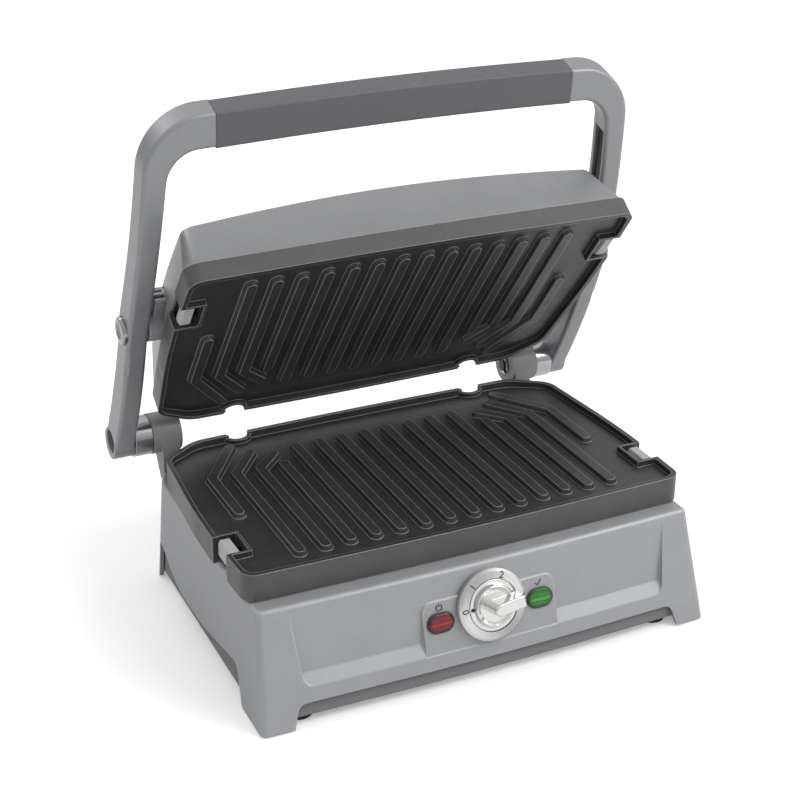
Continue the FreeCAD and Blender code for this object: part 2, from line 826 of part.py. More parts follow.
def control_knob():
    base = knob_base()
    skirt = rod(knob_skirt_r, knob_skirt_t, on_dial(base), dial_out)
    body = Part.makeCone(knob_body_r, knob_body_r - 1.2, knob_body_t, on_dial(base + knob_skirt_t), dial_out)
    dish = Part.makeCone(knob_body_r - 2 * knob_dish_wall, knob_body_r - knob_dish_wall, knob_dish,
                         on_dial(base + knob_skirt_t + knob_body_t - knob_dish), dial_out)
    bar = Part.makeBox(knob_bar_to - knob_bar_from, knob_bar_w, knob_bar_t,
                       vec(knob_bar_from, -knob_bar_w / 2, 0))
    bar = bar.makeFillet(knob_bar_w * 0.45, [e for e in bar.Edges if e.BoundBox.XMax < knob_bar_from + 0.01
                                             and e.BoundBox.ZLength > 1])
    bar = bar.makeFillet(1.2, [e for e in bar.Edges if e.BoundBox.ZMin > knob_bar_t - 0.01])
    bar.rotate(vec(0, 0, 0), up, knob_bar_deg)
    bar.rotate(vec(0, 0, 0), across, 90 - math.degrees(face_angle))
    bar.translate(on_dial(base + knob_skirt_t + knob_body_t / 2))
    bore = rod(shaft_r, shaft_in_knob, on_dial(base), dial_out)
    pointer_at = on_dial(base + knob_skirt_t - 0.6) + vec(-knob_skirt_r + pointer_inset, 0, 0)
    pointer = rod(pointer_r, 3, pointer_at, dial_out)
    return fused([skirt, body.cut(dish), bar]).cut([bore, pointer])


shaft_depth = 14.0


def thermostat_shaft():
    start = knob_base() + shaft_in_knob
    return rod(shaft_r, start + housing_wall + shaft_depth, on_dial(start), dial_in)


def wall_back():
    """Distance from the dial's seat to the inner side of the front wall."""
    return (housing_wall + recess_depth) * math.cos(face_angle) + dial_seat + seat_gap


def thermostat():
    front = wall_back()
    size = thermostat_size
    case = Part.makeBox(size, size, thermostat_depth, vec(-size / 2, -size / 2, -thermostat_depth))
    case.rotate(vec(0, 0, 0), across, 90 - math.degrees(face_angle))
    case.translate(on_dial(-front))
    bush = rod(bush_r, front + 1, on_dial(-front - 0.5), dial_out)
    bore = rod(shaft_r + running_gap, 60, on_dial(20), dial_in)
    return case.fuse(bush).cut(bore).removeSplitter()


face_up = vec(0, math.sin(face_angle), math.cos(face_angle))


def lens_centre(side):
    return dial_centre + vec(side * lens_x, 0, 0) - face_up * lens_drop


def lens_block(side, gap):
    centre = lens_centre(side)
    r = lens_half_h + gap
    spread = lens_half_w - lens_half_h
    place = lambda a, b: centre + vec(a, 0, 0) + face_up * b + dial_out * lens_proud
    corners = [(spread + r, -r, r * 0.999), (spread + r, r, r * 0.999),
               (-spread - r, r, r * 0.999), (-spread - r, -r, r * 0.999)]
    return prism(corners, place, dial_in * (lens_depth + lens_proud + gap * 20))


def lens(side):
    centre = lens_centre(side)
    limit = rod(30, lens_depth + lens_proud + 1, centre + dial_out * (lens_proud + 1), dial_in)
    body = lens_block(side, 0).common(limit)
    front = [e for e in body.Edges if abs((e.CenterOfMass - centre).dot(dial_out) - lens_proud) < 0.01]
    return body.makeFillet(0.8, front)


def lamp(side):
    centre = lens_centre(side)
    return rod(lamp_r, lamp_length, centre + dial_in * lens_depth, dial_in)


def cord_gland():
    y_wall = housing_rear_y - rear_lean * (gland_z - housing_bottom) / (deck_z - housing_bottom)
    tube = rod(gland_r, gland_in + gland_out, vec(gland_x, y_wall - gland_in, gland_z), back)
    flange = rod(gland_flange_r, gland_flange_t, vec(gland_x, y_wall + gland_proud, gland_z), back)
    bore = rod(gland_bore_r, gland_in + gland_out + 2, vec(gland_x, y_wall - gland_in - 1, gland_z), back)
    return tube.fuse(flange).cut(bore).removeSplitter()


def terminal_block():
    top = cover_z + cover_t
    long_half = terminal_size[0] / 2
    deep_half = terminal_size[1] / 2
    high = terminal_size[2]
    case = block(gland_x - long_half, gland_x + long_half, terminal_y - deep_half, terminal_y + deep_half,
                 top, top + high)
    wells = []
    for i in (-1, 0, 1):
        start = vec(gland_x + i * terminal_pitch, terminal_y, top + high - terminal_well)
        wells.append(rod(terminal_well_r, terminal_well + 1, start, up))
    return case.cut(wells)


# hinge brackets

def bracket_web(gap):
    """Upright leg of the hinge bracket, let into the rear corner of the deck."""
    low = deck_z - bracket_sink - gap
    profile = [
        (hub_y - hub_r - gap, low, 0),
        (hub_y + bracket_back + gap, low, 0),
        (hub_y + bracket_top[0] + gap, hub_z - bracket_top[1], 0),
        (hub_y, hub_z, 0),
        (hub_y - hub_r - gap, hub_z, 0),
    ]
    inner = hub_inner + bracket_inset - gap
    width = hub_outer - hub_inner - bracket_inset - bracket_outer_inset + 2 * gap
    return prism(profile, lambda a, b: vec(inner, a, b), vec(width, 0, 0))


def hinge_bracket():
    barrel = rod(hub_r, hub_outer - hub_inner, vec(hub_inner, hub_y, hub_z), across)
    web = bracket_web(0)
    bore = rod(pin_r + running_gap, 60, vec(hub_inner - 10, hub_y, hub_z), across)
    return fused([barrel, web]).cut(bore)


# handle, in the closed position

chord_deg = (arm_start_deg + arm_end_deg) / 2
along = vec(0, -math.cos(math.radians(chord_deg)), math.sin(math.radians(chord_deg)))
over = vec(0, math.sin(math.radians(chord_deg)), math.cos(math.radians(chord_deg)))
hub_axis = vec(0, hub_y, hub_z)


pivot_face = arm_inner - hub_gap
cap_seat = arm_outer - cap_sink
arm_sweep = math.radians(arm_end_deg - arm_start_deg)
bow_radius = arm_length / arm_sweep
arm_chord = 2 * bow_radius * math.sin(arm_sweep / 2)


def in_handle(x, w, h):
    return hub_axis + vec(x, 0, 0) + along * w + over * h


def handle_band(hub_depth, grip_depth):
    """Side view of the bowed arm, of two half depths, as a slab across the whole width."""
    start = math.radians(arm_start_deg)
    middle = hub_axis + vec(0, math.sin(start), math.cos(start)) * bow_radius

    def at(angle_deg, offset):
        a = math.radians(angle_deg)
        return middle - vec(0, math.sin(a), math.cos(a)) * (bow_radius + offset) - vec(wide, 0, 0)

    first = arm_start_deg - math.degrees(arm_overrun / bow_radius)
    last = arm_end_deg + 2.0
    mid = (first + last) / 2
    mid_depth = (hub_depth + grip_depth) / 2
    low = Part.Arc(at(first, hub_depth), at(mid, mid_depth), at(last, grip_depth)).toShape()
    high = Part.Arc(at(last, -grip_depth), at(mid, -mid_depth), at(first, -hub_depth)).toShape()
    close_front = Part.LineSegment(at(last, grip_depth), at(last, -grip_depth)).toShape()
    close_back = Part.LineSegment(at(first, -hub_depth), at(first, hub_depth)).toShape()
    face = Part.Face(Part.Wire([low, close_front, high, close_back]))
    return face.extrude(vec(2 * wide, 0, 0))


def handle_front_view(wrap):
    """Front view of the U in the plane of the arms, as a deep prism."""
    outer = [
        (0, grip_high + grip_arch + wrap, grip_arch_r),
        (arm_top_outer - 2, grip_high + wrap, corner_outer_r),
        (arm_top_outer + arm_bend_in, grip_high - arm_bend_drop, 400),
        (arm_outer, arm_straight, arm_straight_r),
        (arm_outer, -40, 0),
        (arm_inner, -40, 0),
        (arm_inner, arm_straight, arm_straight_r),
        (arm_top_inner + arm_bend_in, grip_high - arm_bend_drop, 400),
        (arm_top_inner - 2, grip_low - wrap, corner_inner_r),
        (0, grip_low + grip_arch - wrap, grip_arch_r),
    ]
    mirrored = [(-x, w, r) for x, w, r in reversed(outer[1:-1])]
    corners = outer + mirrored
    return prism(corners, lambda a, b: in_handle(a, b, -40), over * 80)


def handle_bow():
    start = math.radians(arm_start_deg)
    end_middle = hub_axis + vec(-wide, math.cos(start) * arm_overrun, -math.sin(start) * arm_overrun)
    end_disc = rod(arm_end_r, 2 * wide, end_middle, across)
    eye = rod(pivot_eye_r, 2 * wide, vec(-wide, pivot_y, pivot_z), across)
    slab = handle_band(hub_half_depth, grip_half_depth).fuse([end_disc, eye])
    return handle_front_view(0).common(slab).removeSplitter()


def side_slice(x0, x1):
    return block(x0, x1, -120, 320, 0, 400)


def arm(bow):
    """Right arm from the seam beside the grip down to its round lower end."""
    body = bow.common(side_slice(grip_half, wide))
    long_edges = []
    for edge in body.Edges:
        box = edge.BoundBox
        if edge.Length > 60 and box.XMin > grip_half + 1:
            long_edges.append(edge)
    body = body.makeFillet(arm_round, long_edges)
    pin_hole = rod(pin_r, 60, in_handle(arm_inner - 20, 0, 0), across)
    recess_depth_x = pin_head_t + pin_sink + 0.3
    pin_recess = rod(pin_head_r + 0.6, recess_depth_x, in_handle(arm_outer - recess_depth_x, 0, 0), across)
    pivot_hole = rod(pin_r, 60, vec(arm_inner - 20, pivot_y, pivot_z), across)
    cap_pocket = rod(pivot_cap_r + stem_gap, 20, vec(cap_seat, pivot_y, pivot_z), across)
    cuts = [pin_hole, pin_recess, pivot_hole, cap_pocket, grip_core_bar(), channel_block(channel_depth)]
    return body.cut(cuts)


def channel_block(depth):
    band = handle_band(channel_half, channel_half)
    window = prism([(arm_top_inner - 10, channel_from, 2), (arm_inner + 14, channel_from, 2),
                    (arm_inner + 14, channel_to, 2), (arm_top_inner - 10, channel_to, 2)],
                   lambda a, b: in_handle(a, b, -30), over * 60)
    inner_skin = handle_front_inner(depth)
    return band.common(window).common(inner_skin)


def handle_front_inner(depth):
    """A slab that reaches depth into the inner faces of the right arm."""
    corners = [
        (arm_inner - 20, arm_straight - 30, 0),
        (arm_inner + depth, arm_straight - 30, 0),
        (arm_inner + depth, arm_straight, arm_straight_r),
        (arm_top_inner + arm_bend_in + depth, grip_high - arm_bend_drop, 400),
        (arm_top_inner - 2 + depth + 1.2, grip_low, 0),
        (arm_top_inner - 14, grip_low, 0),
    ]
    return prism(corners, lambda a, b: in_handle(a, b, -30), over * 60)


def channel_insert(body_bow):
    skin = channel_block(channel_depth).cut(channel_block(channel_depth - channel_skin))
    return skin.common(body_bow)


def grip_core_bar():
    rise = grip_arch * 0.6
    centre = (grip_low + grip_high) / 2 + rise
    half = grip_half + core_reach
    depth_offset = (centre - arm_chord) * math.tan(arm_sweep / 2)
    corners = [(-half, centre - core_half_h, 1), (half, centre - core_half_h, 1),
               (half, centre + core_half_h, 1), (-half, centre + core_half_h, 1)]
    return prism(corners, lambda a, b: in_handle(a, b, depth_offset - core_half_w), over * core_half_w * 2)


def grip_sleeve(wrapped):
    body = wrapped.common(side_slice(-grip_half, grip_half))
    body = body.removeSplitter()
    long_edges = [e for e in body.Edges if abs(e.BoundBox.XLength) > 1.0]
    body = body.makeFillet(grip_round, long_edges)
    return body.cut(grip_core_bar())


def hinge_ring():
    ring = rod(ring_r, arm_inner - hub_outer - hub_gap, vec(hub_outer + hub_gap, hub_y, hub_z), across)
    return ring.cut(rod(pin_r, 60, vec(hub_outer - 20, hub_y, hub_z), across))


def hinge_pin():
    start = hub_inner - washer_t - 1.6
    seat = arm_outer - pin_sink - pin_head_t
    shank = rod(pin_r, seat - start, vec(start, hub_y, hub_z), across)
    head = rod(pin_head_r, pin_head_t, vec(seat, hub_y, hub_z), across)
    groove = rod(pin_r + 1, 1.0, vec(hub_inner - 1.5, hub_y, hub_z), across)
    groove = groove.cut(rod(pin_r - 0.7, 3, vec(hub_inner - 2.5, hub_y, hub_z), across))
    return fused([shank, head]).cut(groove)


def retaining_ring():
    ring = rod(pin_r + 2.4, 0.8, vec(hub_inner - 1.4, hub_y, hub_z), across)
    ring = ring.cut(rod(pin_r - 0.7, 4, vec(hub_inner - 3, hub_y, hub_z), across))
    return ring.cut(block(hub_inner - 3, hub_inner, hub_y - 2, hub_y + 2, hub_z - 10, hub_z))


def pivot_pin():
    start = pivot_boss_inner + pivot_pin_inset
    return rod(pin_r, cap_seat - start, vec(start, pivot_y, pivot_z), across)


def pivot_cap():
    disc = rod(pivot_cap_r, pivot_cap_t, vec(cap_seat, pivot_y, pivot_z), across)
    rim = [e for e in disc.Edges if e.BoundBox.XMin > cap_seat + pivot_cap_t - 0.01]
    disc = disc.makeFillet(1.4, rim)
    dish = Part.makeCone(pivot_cap_r * 0.45, pivot_cap_r * 0.62, 1.0,
                         vec(cap_seat + pivot_cap_t - 1.0, pivot_y, pivot_z), across)
    return disc.cut(dish)


# lid, in the closed position

lid_low = rim_z + closed_gap + upper_skirt + seat_gap
lid_high = lid_low + shell_height


def lid_top_corners(inset):
    right = [
        (0, shell_top_front - plate_bow + inset, bow_r),
        (shell_top_half - inset, shell_top_front + inset, shell_corner_r),
        (shell_top_half + 2 - inset, plate_side_y, side_bow_r),
        (plate_corner_half - 10 - inset, plate_corner_y - 8, rear_corner_r + 4),
        (plate_bend_half - 8 - inset * 0.4, shell_top_rear - inset, rear_bend_r),
        (0, shell_top_rear + 1 - inset, bow_r),
    ]
    return mirrored_corners(right)


def lid_body(inset, low, high):
    bottom = rounded_wire(plate_corners(shell_inset + inset), level(low))
    top = rounded_wire(lid_top_corners(inset), level(high))
    return Part.makeLoft([bottom, top], True, True)


def crown(drop):
    """Large ball whose top makes the gently domed roof of the lid."""
    radius = shell_top_half ** 2 / (2 * shell_crown)
    middle = (shell_top_front + shell_top_rear) / 2
    return Part.makeSphere(radius - drop, vec(0, middle, lid_high - crown_margin - radius))


def lid_shell():
    outer = lid_body(0, lid_low, lid_high).common(crown(0))
    rim = [e for e in outer.Edges if e.BoundBox.ZMin > lid_high - shell_crown * 2]
    outer = outer.makeFillet(shell_round, rim)
    inner = lid_body(shell_wall, lid_low, lid_high).common(crown(shell_wall))
    body = outer.cut(inner)
    bosses = []
    cuts = []
    for x, y in lid_screw_places:
        boss = rod(boss_r, shell_height - 4, vec(x, y, lid_low + lid_frame_t), up)
        pilot = rod(screw_r, screw_length, vec(x, y, lid_low + lid_frame_t - 1), up)
        bosses += [boss.common(outer), flipped(boss).common(outer)]
        cuts += [pilot, flipped(pilot)]
    window = mount_window()
    return body.fuse(bosses).cut(cuts + [window, flipped(window)]).removeSplitter()


def lid_frame():
    edge = plate_corners(shell_inset + shell_wall + cover_gap)
    plate = prism(edge, level(lid_low), vec(0, 0, lid_frame_t))
    plate = plate.common(lid_body(shell_wall + cover_gap, lid_low, lid_high))
    opening = block(-pan_half - pan_gap, pan_half + pan_gap, pan_front_y - pan_gap, pan_rear_y + pan_gap,
                    lid_low - 1, lid_low + lid_frame_t + 1)
    slot = latch_slot(lid_low - 1, lid_low + lid_frame_t + 1)
    cuts = [opening, slot, flipped(slot)]
    for x, y in lid_screw_places:
        hole = rod(screw_r + stem_gap, lid_frame_t + 2, vec(x, y, lid_low - 1), up)
        cuts += [hole, flipped(hole)]
    return plate.cut(cuts)


def fan_sector(radius, x0, x1, spare_deg):
    """Sector about the pivot between the first and the last rib of the fan."""
    first = fan_first_deg - spare_deg
    last = fan_first_deg + fan_step_deg * (fan_ribs - 1) + spare_deg

    def at(angle_deg):
        a = math.radians(angle_deg)
        return vec(x0, pivot_y + radius * math.cos(a), pivot_z + radius * math.sin(a))

    centre = vec(x0, pivot_y, pivot_z)
    rim = Part.Arc(at(first), at((first + last) / 2), at(last)).toShape()
    sides = [Part.LineSegment(centre, at(first)).toShape(), Part.LineSegment(at(last), centre).toShape()]
    return Part.Face(Part.Wire([sides[0], rim, sides[1]])).extrude(vec(x1 - x0, 0, 0))


def mount_window():
    """Opening in the end wall of the lid that the pivot mount fills."""
    boss = rod(pivot_boss_r + seat_gap / 2, 40, vec(pivot_boss_inner - seat_gap, pivot_y, pivot_z), across)
    fan = fan_sector(fan_r + 1, fan_inner - seat_gap, arm_inner, fan_spare_deg)
    return boss.fuse([fan, stop_block()])


def stop_block():
    return block(stop_inner, pivot_face - stop_short, pivot_y + stop_y[0], pivot_y + stop_y[1],
                 pivot_z + stop_z[0], pivot_z + stop_z[1])


def pivot_mount():
    """Boss with a fan of ribs on the end of the lid, bored for the pivot pin."""
    boss = rod(pivot_boss_r, pivot_face - pivot_boss_short - pivot_boss_inner,
               vec(pivot_boss_inner, pivot_y, pivot_z), across)
    centre = vec(fan_inner, pivot_y, pivot_z)
    back_plate = fan_sector(fan_r, fan_plate_x, fan_plate_x + fan_plate, fan_spare_deg / 2)
    shapes = [boss, stop_block(), back_plate]
    for i in range(fan_ribs):
        fin = Part.makeBox(fan_outer - fan_inner, fan_rib_w, fan_r, vec(0, -fan_rib_w / 2, 0))
        fin.rotate(vec(0, 0, 0), across, fan_first_deg + i * fan_step_deg - 90)
        fin.translate(centre)
        shapes.append(fin)
    bore_start = vec(pivot_boss_inner - 10, pivot_y, pivot_z)
    return fused(shapes).cut(rod(pin_r + running_gap, 60, bore_start, across))


def lid_screws():
    screws = []
    for x, y in lid_screw_places:
        shank = rod(screw_r - running_gap, screw_length, vec(x, y, lid_low), up)
        screws += [shank, flipped(shank)]
    return Part.makeCompound(screws)


# assembly

def opened(shape):
    turned = shape.copy()
    turned.rotate(vec(0, hub_y, hub_z), across, -open_angle)
    return turned


def base_pieces():
    pieces = {
        "base_housing": base_housing(),
        "bottom_cover": bottom_cover(),
        "rubber_feet": rubber_feet(),
        "base_screws": base_screws(),
        "lower_heat_pan": heat_pan(deck_z - housing_wall),
        "lower_reflector": reflector(),
        "lower_heating_element": heating_element(),
        "lower_thermal_fuse": thermal_fuse(),
        "lower_plate": grill_plate(lower_skirt),
        "dial_bezel": dial_bezel(),
        "control_knob": control_knob(),
        "thermostat_shaft": thermostat_shaft(),
        "thermostat": thermostat(),
        "power_lens": lens(-1),
        "ready_lens": lens(1),
        "power_lamp": lamp(-1),
        "ready_lamp": lamp(1),
        "cord_gland": cord_gland(),
        "terminal_block": terminal_block(),
    }
    sided = {
        "hinge_bracket": hinge_bracket(),
        "lower_latch": latch(lower_skirt),
        "lower_latch_spring": latch_spring(),
    }
    add_sides(pieces, sided)
    return pieces


def lid_pieces():
    over_shift = upper_skirt - lower_skirt
    spring = latch_spring()
    spring.translate(vec(0, 0, -over_shift))
    pieces = {
        "lid_shell": lid_shell(),
        "lid_frame": lid_frame(),
        "lid_screws": lid_screws(),
        "upper_heat_pan": turned_over(heat_pan(rim_z - upper_skirt - seat_gap - lid_frame_t)),
        "upper_reflector": turned_over(reflector()),
        "upper_heating_element": turned_over(heating_element()),
        "upper_thermal_fuse": turned_over(thermal_fuse()),
        "upper_plate": turned_over(grill_plate(upper_skirt)),
    }
    sided = {
        "lid_pivot_mount": pivot_mount(),
        "upper_latch": turned_over(latch(upper_skirt)),
        "upper_latch_spring": turned_over(spring),
    }
    add_sides(pieces, sided)
    return pieces


def handle_pieces():
    bow = handle_bow()
    wrapped = handle_front_view(grip_wrap)
    wrapped = wrapped.common(handle_band(hub_half_depth + grip_wrap, grip_half_depth + grip_wrap))
    pieces = {
        "grip_sleeve": grip_sleeve(wrapped),
        "grip_core": grip_core_bar(),
    }
    sided = {
        "handle_arm": arm(bow),
        "arm_channel": channel_insert(bow),
        "hinge_ring": hinge_ring(),
        "hinge_pin": hinge_pin(),
        "retaining_ring": retaining_ring(),
        "pivot_pin": pivot_pin(),
        "pivot_cap": pivot_cap(),
    }
    add_sides(pieces, sided)
    return pieces


def add_sides(pieces, sided):
    for name, shape in sided.items():
        pieces[name + "_right"] = shape
        pieces[name + "_left"] = flipped(shape)


def main():
    os.makedirs("parts", exist_ok=True)
    pieces = base_pieces()
    for group in (lid_pieces(), handle_pieces()):
        for name, shape in group.items():
            pieces[name] = opened(shape)
    whole = Part.makeCompound(list(pieces.values()))
    box = whole.optimalBoundingBox(True, False)
    shift = vec(0, -(box.YMin + box.YMax) / 2, 0)
    for name, shape in pieces.items():
        shape.translate(shift)
        shape.exportStep("parts/" + name + ".step")
    turn = FreeCAD.Rotation(across, -open_angle)
    pivot = turn.multVec(vec(0, pivot_y, pivot_z) - hub_axis) + hub_axis
    print("shift", shift)
    print("box", box)
    print("hub axis", hub_axis + shift)
    print("lid pivot", pivot + shift)
    print("dial", dial_centre + shift, "out", dial_out)


main()
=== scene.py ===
import json
import math

import bmesh
import bpy
from mathutils import Matrix, Vector


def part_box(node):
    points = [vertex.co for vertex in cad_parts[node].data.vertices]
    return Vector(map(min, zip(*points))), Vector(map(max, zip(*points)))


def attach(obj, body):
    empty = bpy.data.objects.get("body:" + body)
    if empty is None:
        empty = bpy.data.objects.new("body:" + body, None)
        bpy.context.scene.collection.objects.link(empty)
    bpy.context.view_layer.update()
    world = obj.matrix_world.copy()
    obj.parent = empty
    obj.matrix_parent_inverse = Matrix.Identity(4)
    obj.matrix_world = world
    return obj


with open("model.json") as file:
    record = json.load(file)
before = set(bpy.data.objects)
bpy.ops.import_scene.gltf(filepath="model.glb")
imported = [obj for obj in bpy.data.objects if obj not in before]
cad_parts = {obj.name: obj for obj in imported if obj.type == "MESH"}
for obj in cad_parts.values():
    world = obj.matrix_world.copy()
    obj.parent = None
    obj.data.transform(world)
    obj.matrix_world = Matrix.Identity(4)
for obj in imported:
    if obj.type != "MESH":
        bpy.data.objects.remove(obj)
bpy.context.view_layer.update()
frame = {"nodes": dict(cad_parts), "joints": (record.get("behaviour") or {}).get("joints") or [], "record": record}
nodes = frame["nodes"]
record = frame["record"]
joints = {joint["name"]: joint for joint in frame["joints"]}
print("frame loaded:", len(nodes), "nodes")

mm = 0.001
hub = Vector(joints["handle_hinge"]["pos_m"])
dialSeat = Vector(joints["knob_turn"]["pos_m"])
dialOut = -Vector(joints["knob_turn"]["axis"]).normalized()
dialRight = Vector((1, 0, 0))
dialUp = dialOut.cross(dialRight)
openAngle = math.radians(52.7)


def alongDial(node):
    return max((v.co - dialSeat).dot(dialOut) for v in nodes[node].data.vertices)


# small helpers for building node trees
def addNode(tree, kind, sockets=None, **settings):
    node = tree.nodes.new(kind)
    for name, value in settings.items():
        setattr(node, name, value)
    for key, value in (sockets or {}).items():
        if isinstance(value, bpy.types.NodeSocket):
            tree.links.new(value, node.inputs[key])
        else:
            node.inputs[key].default_value = value
    return node


def mathNode(tree, operation, a, b=0.0, clamp=False):
    return addNode(tree, "ShaderNodeMath", {0: a, 1: b}, operation=operation, use_clamp=clamp).outputs[0]


def times(tree, *values):
    result = values[0]
    for value in values[1:]:
        result = mathNode(tree, "MULTIPLY", result, value)
    return result


def vectorMath(tree, operation, a, b):
    node = addNode(tree, "ShaderNodeVectorMath", {0: a, 1: b}, operation=operation)
    return node.outputs["Value" if operation == "DOT_PRODUCT" else 0]


def absolute(tree, value):
    return mathNode(tree, "ABSOLUTE", value)


def hypotenuse(tree, a, b):
    squares = [mathNode(tree, "MULTIPLY", side, side) for side in (a, b)]
    return mathNode(tree, "SQRT", mathNode(tree, "ADD", *squares))


def greyTint(tree, level):
    return addNode(tree, "ShaderNodeCombineColor", {0: level, 1: level, 2: level}).outputs[0]


def mixColours(tree, share, a, b, blend="MIX"):
    node = addNode(tree, "ShaderNodeMix", data_type="RGBA", blend_type=blend)
    for index, value in ((0, share), (6, a), (7, b)):
        if isinstance(value, bpy.types.NodeSocket):
            tree.links.new(value, node.inputs[index])
        else:
            node.inputs[index].default_value = value
    return node.outputs[2]


def stretch(tree, value, low, high, outLow=0.0, outHigh=1.0):
    node = addNode(tree, "ShaderNodeMapRange", {0: value, 1: low, 2: high, 3: outLow, 4: outHigh})
    return node.outputs[0]


def startGroup(name, inputs, outputs):
    group = bpy.data.node_groups.new(name, "ShaderNodeTree")
    for label, kind, default in inputs:
        socket = group.interface.new_socket(label, in_out="INPUT", socket_type="NodeSocket" + kind)
        socket.default_value = default
    for label, kind in outputs:
        group.interface.new_socket(label, in_out="OUTPUT", socket_type="NodeSocket" + kind)
    start = group.nodes.new("NodeGroupInput")
    end = group.nodes.new("NodeGroupOutput")
    return group, start.outputs, end.inputs


def noise(tree, place, scale, detail=3.0, roughness=0.5):
    sockets = {"Vector": place, "Scale": scale, "Detail": detail, "Roughness": roughness}
    return addNode(tree, "ShaderNodeTexNoise", sockets).outputs[0]


def objectPlace(tree):
    return addNode(tree, "ShaderNodeTexCoord").outputs["Object"]


def grey(level):
    return (level, level, level, 1.0)


# cloud and patch are noise scales per metre, swing brings the drift back to full size
patches = {"cloud": 14.0, "patch": 55.0, "swing": 4.0}


# fine grain of a moulded and painted skin: colour drifts a little, roughness too
def makeSkinGroup():
    group, given, out = startGroup(
        "mouldedSkin",
        [("Colour", "Color", grey(0.3)), ("Drift", "Float", 0.06), ("Grain Size", "Float", 0.0006),
         ("Roughness", "Float", 0.4), ("Roughness Drift", "Float", 0.06), ("Fleck", "Float", 0.0)],
        [("Colour", "Color"), ("Roughness", "Float"), ("Grain", "Float")])
    place = objectPlace(group)
    scale = mathNode(group, "DIVIDE", 1.0, given["Grain Size"])
    grain = noise(group, place, scale, 2.0)
    cloud = noise(group, place, patches["cloud"], 4.0, 0.6)
    patch = noise(group, place, patches["patch"], 3.0, 0.55)
    both = mathNode(group, "MULTIPLY", mathNode(group, "ADD", cloud, patch), 0.5)
    centred = mathNode(group, "SUBTRACT", both, 0.5)
    lift = times(group, centred, given["Drift"], patches["swing"])
    fleck = mathNode(group, "MULTIPLY", mathNode(group, "SUBTRACT", grain, 0.5), given["Fleck"])
    level = mathNode(group, "ADD", mathNode(group, "ADD", lift, fleck), 1.0)
    colour = mixColours(group, 1.0, given["Colour"], greyTint(group, level), "MULTIPLY")
    group.links.new(colour, out["Colour"])
    spread = times(group, centred, given["Roughness Drift"], patches["swing"])
    group.links.new(mathNode(group, "ADD", given["Roughness"], spread, clamp=True), out["Roughness"])
    group.links.new(grain, out["Grain"])
    return group


# from and fullAt say how well both normals agree, broken is a noise scale
rubAndHighlight = {"from": 0.995, "fullAt": 0.86, "broken": 160.0}


# where two faces meet the colour turns to the edge colour, partly rubbed paint and partly a painted highlight
# along the edge: the softened normal leaves the real one there
def makeEdgeGroup():
    group, given, out = startGroup(
        "edgeRubAndHighlight", [("Width", "Float", 0.0008), ("Break Up", "Float", 0.5)], [("Mask", "Float")])
    softened = addNode(group, "ShaderNodeBevel", {"Radius": given["Width"]}, samples=4)
    geometry = addNode(group, "ShaderNodeNewGeometry")
    agree = vectorMath(group, "DOT_PRODUCT", softened.outputs[0], geometry.outputs["Normal"])
    bend = stretch(group, agree, rubAndHighlight["from"], rubAndHighlight["fullAt"])
    broken = noise(group, objectPlace(group), rubAndHighlight["broken"], 4.0, 0.7)
    keep = stretch(group, broken, 0.35, 0.65)
    lost = times(group, given["Break Up"], mathNode(group, "SUBTRACT", 1.0, keep))
    share = mathNode(group, "SUBTRACT", 1.0, lost)
    group.links.new(mathNode(group, "MULTIPLY", bend, share, clamp=True), out["Mask"])
    return group


# noise scales of the dust and the smears, and how much rougher full dust is
film = {"specks": 420.0, "cloud": 9.0, "smear": 26.0, "dustRough": 0.5}


# dust settles on what faces up and a faint film of grease sits in patches
def makeFilmGroup():
    group, given, out = startGroup(
        "kitchenFilm", [("Dust", "Float", 0.1), ("Smudge", "Float", 0.1)],
        [("Dust Mask", "Float"), ("Smudge Mask", "Float")])
    geometry = addNode(group, "ShaderNodeNewGeometry")
    rise = addNode(group, "ShaderNodeSeparateXYZ", {0: geometry.outputs["Normal"]}).outputs[2]
    upward = stretch(group, rise, 0.35, 1.0)
    place = objectPlace(group)
    specks = stretch(group, noise(group, place, film["specks"], 4.0, 0.7), 0.45, 0.75)
    cloud = stretch(group, noise(group, place, film["cloud"], 3.0, 0.5), 0.3, 0.7)
    dust = times(group, upward, specks, cloud)
    group.links.new(mathNode(group, "MULTIPLY", dust, given["Dust"], clamp=True), out["Dust Mask"])
    smear = stretch(group, noise(group, place, film["smear"], 5.0, 0.65), 0.5, 0.72)
    group.links.new(mathNode(group, "MULTIPLY", smear, given["Smudge"], clamp=True), out["Smudge Mask"])
    return group


# fine lines left by brushing, stretched along one axis of the piece
def makeBrushGroup():
    group, given, out = startGroup(
        "brushedLines", [("Squeeze", "Vector", (1.0, 1.0, 1.0)), ("Scale", "Float", 900.0)],
        [("Lines", "Float")])
    stretched = vectorMath(group, "MULTIPLY", objectPlace(group), given["Squeeze"])
    group.links.new(noise(group, stretched, given["Scale"], 3.0, 0.6), out["Lines"])
    return group


skinGroup = makeSkinGroup()
edgeGroup = makeEdgeGroup()
filmGroup = makeFilmGroup()
brushGroup = makeBrushGroup()


def fillGroup(tree, group, sockets):
    node = tree.nodes.new("ShaderNodeGroup")
    node.node_tree = group
    for key, value in sockets.items():
        if isinstance(value, bpy.types.NodeSocket):
            tree.links.new(value, node.inputs[key])
        else:
            node.inputs[key].default_value = value
    return node


def startMaterial(name):
    material = bpy.data.materials.new(name)
    material.use_nodes = True
    tree = material.node_tree
    tree.nodes.clear()
    shader = tree.nodes.new("ShaderNodeBsdfPrincipled")
    output = tree.nodes.new("ShaderNodeOutputMaterial")
    tree.links.new(shader.outputs[0], output.inputs[0])
    return material, tree, shader


def setShader(tree, shader, values):
    for key, value in values.items():
        if isinstance(value, bpy.types.NodeSocket):
            tree.links.new(value, shader.inputs[key])
        else:
            shader.inputs[key].default_value = value
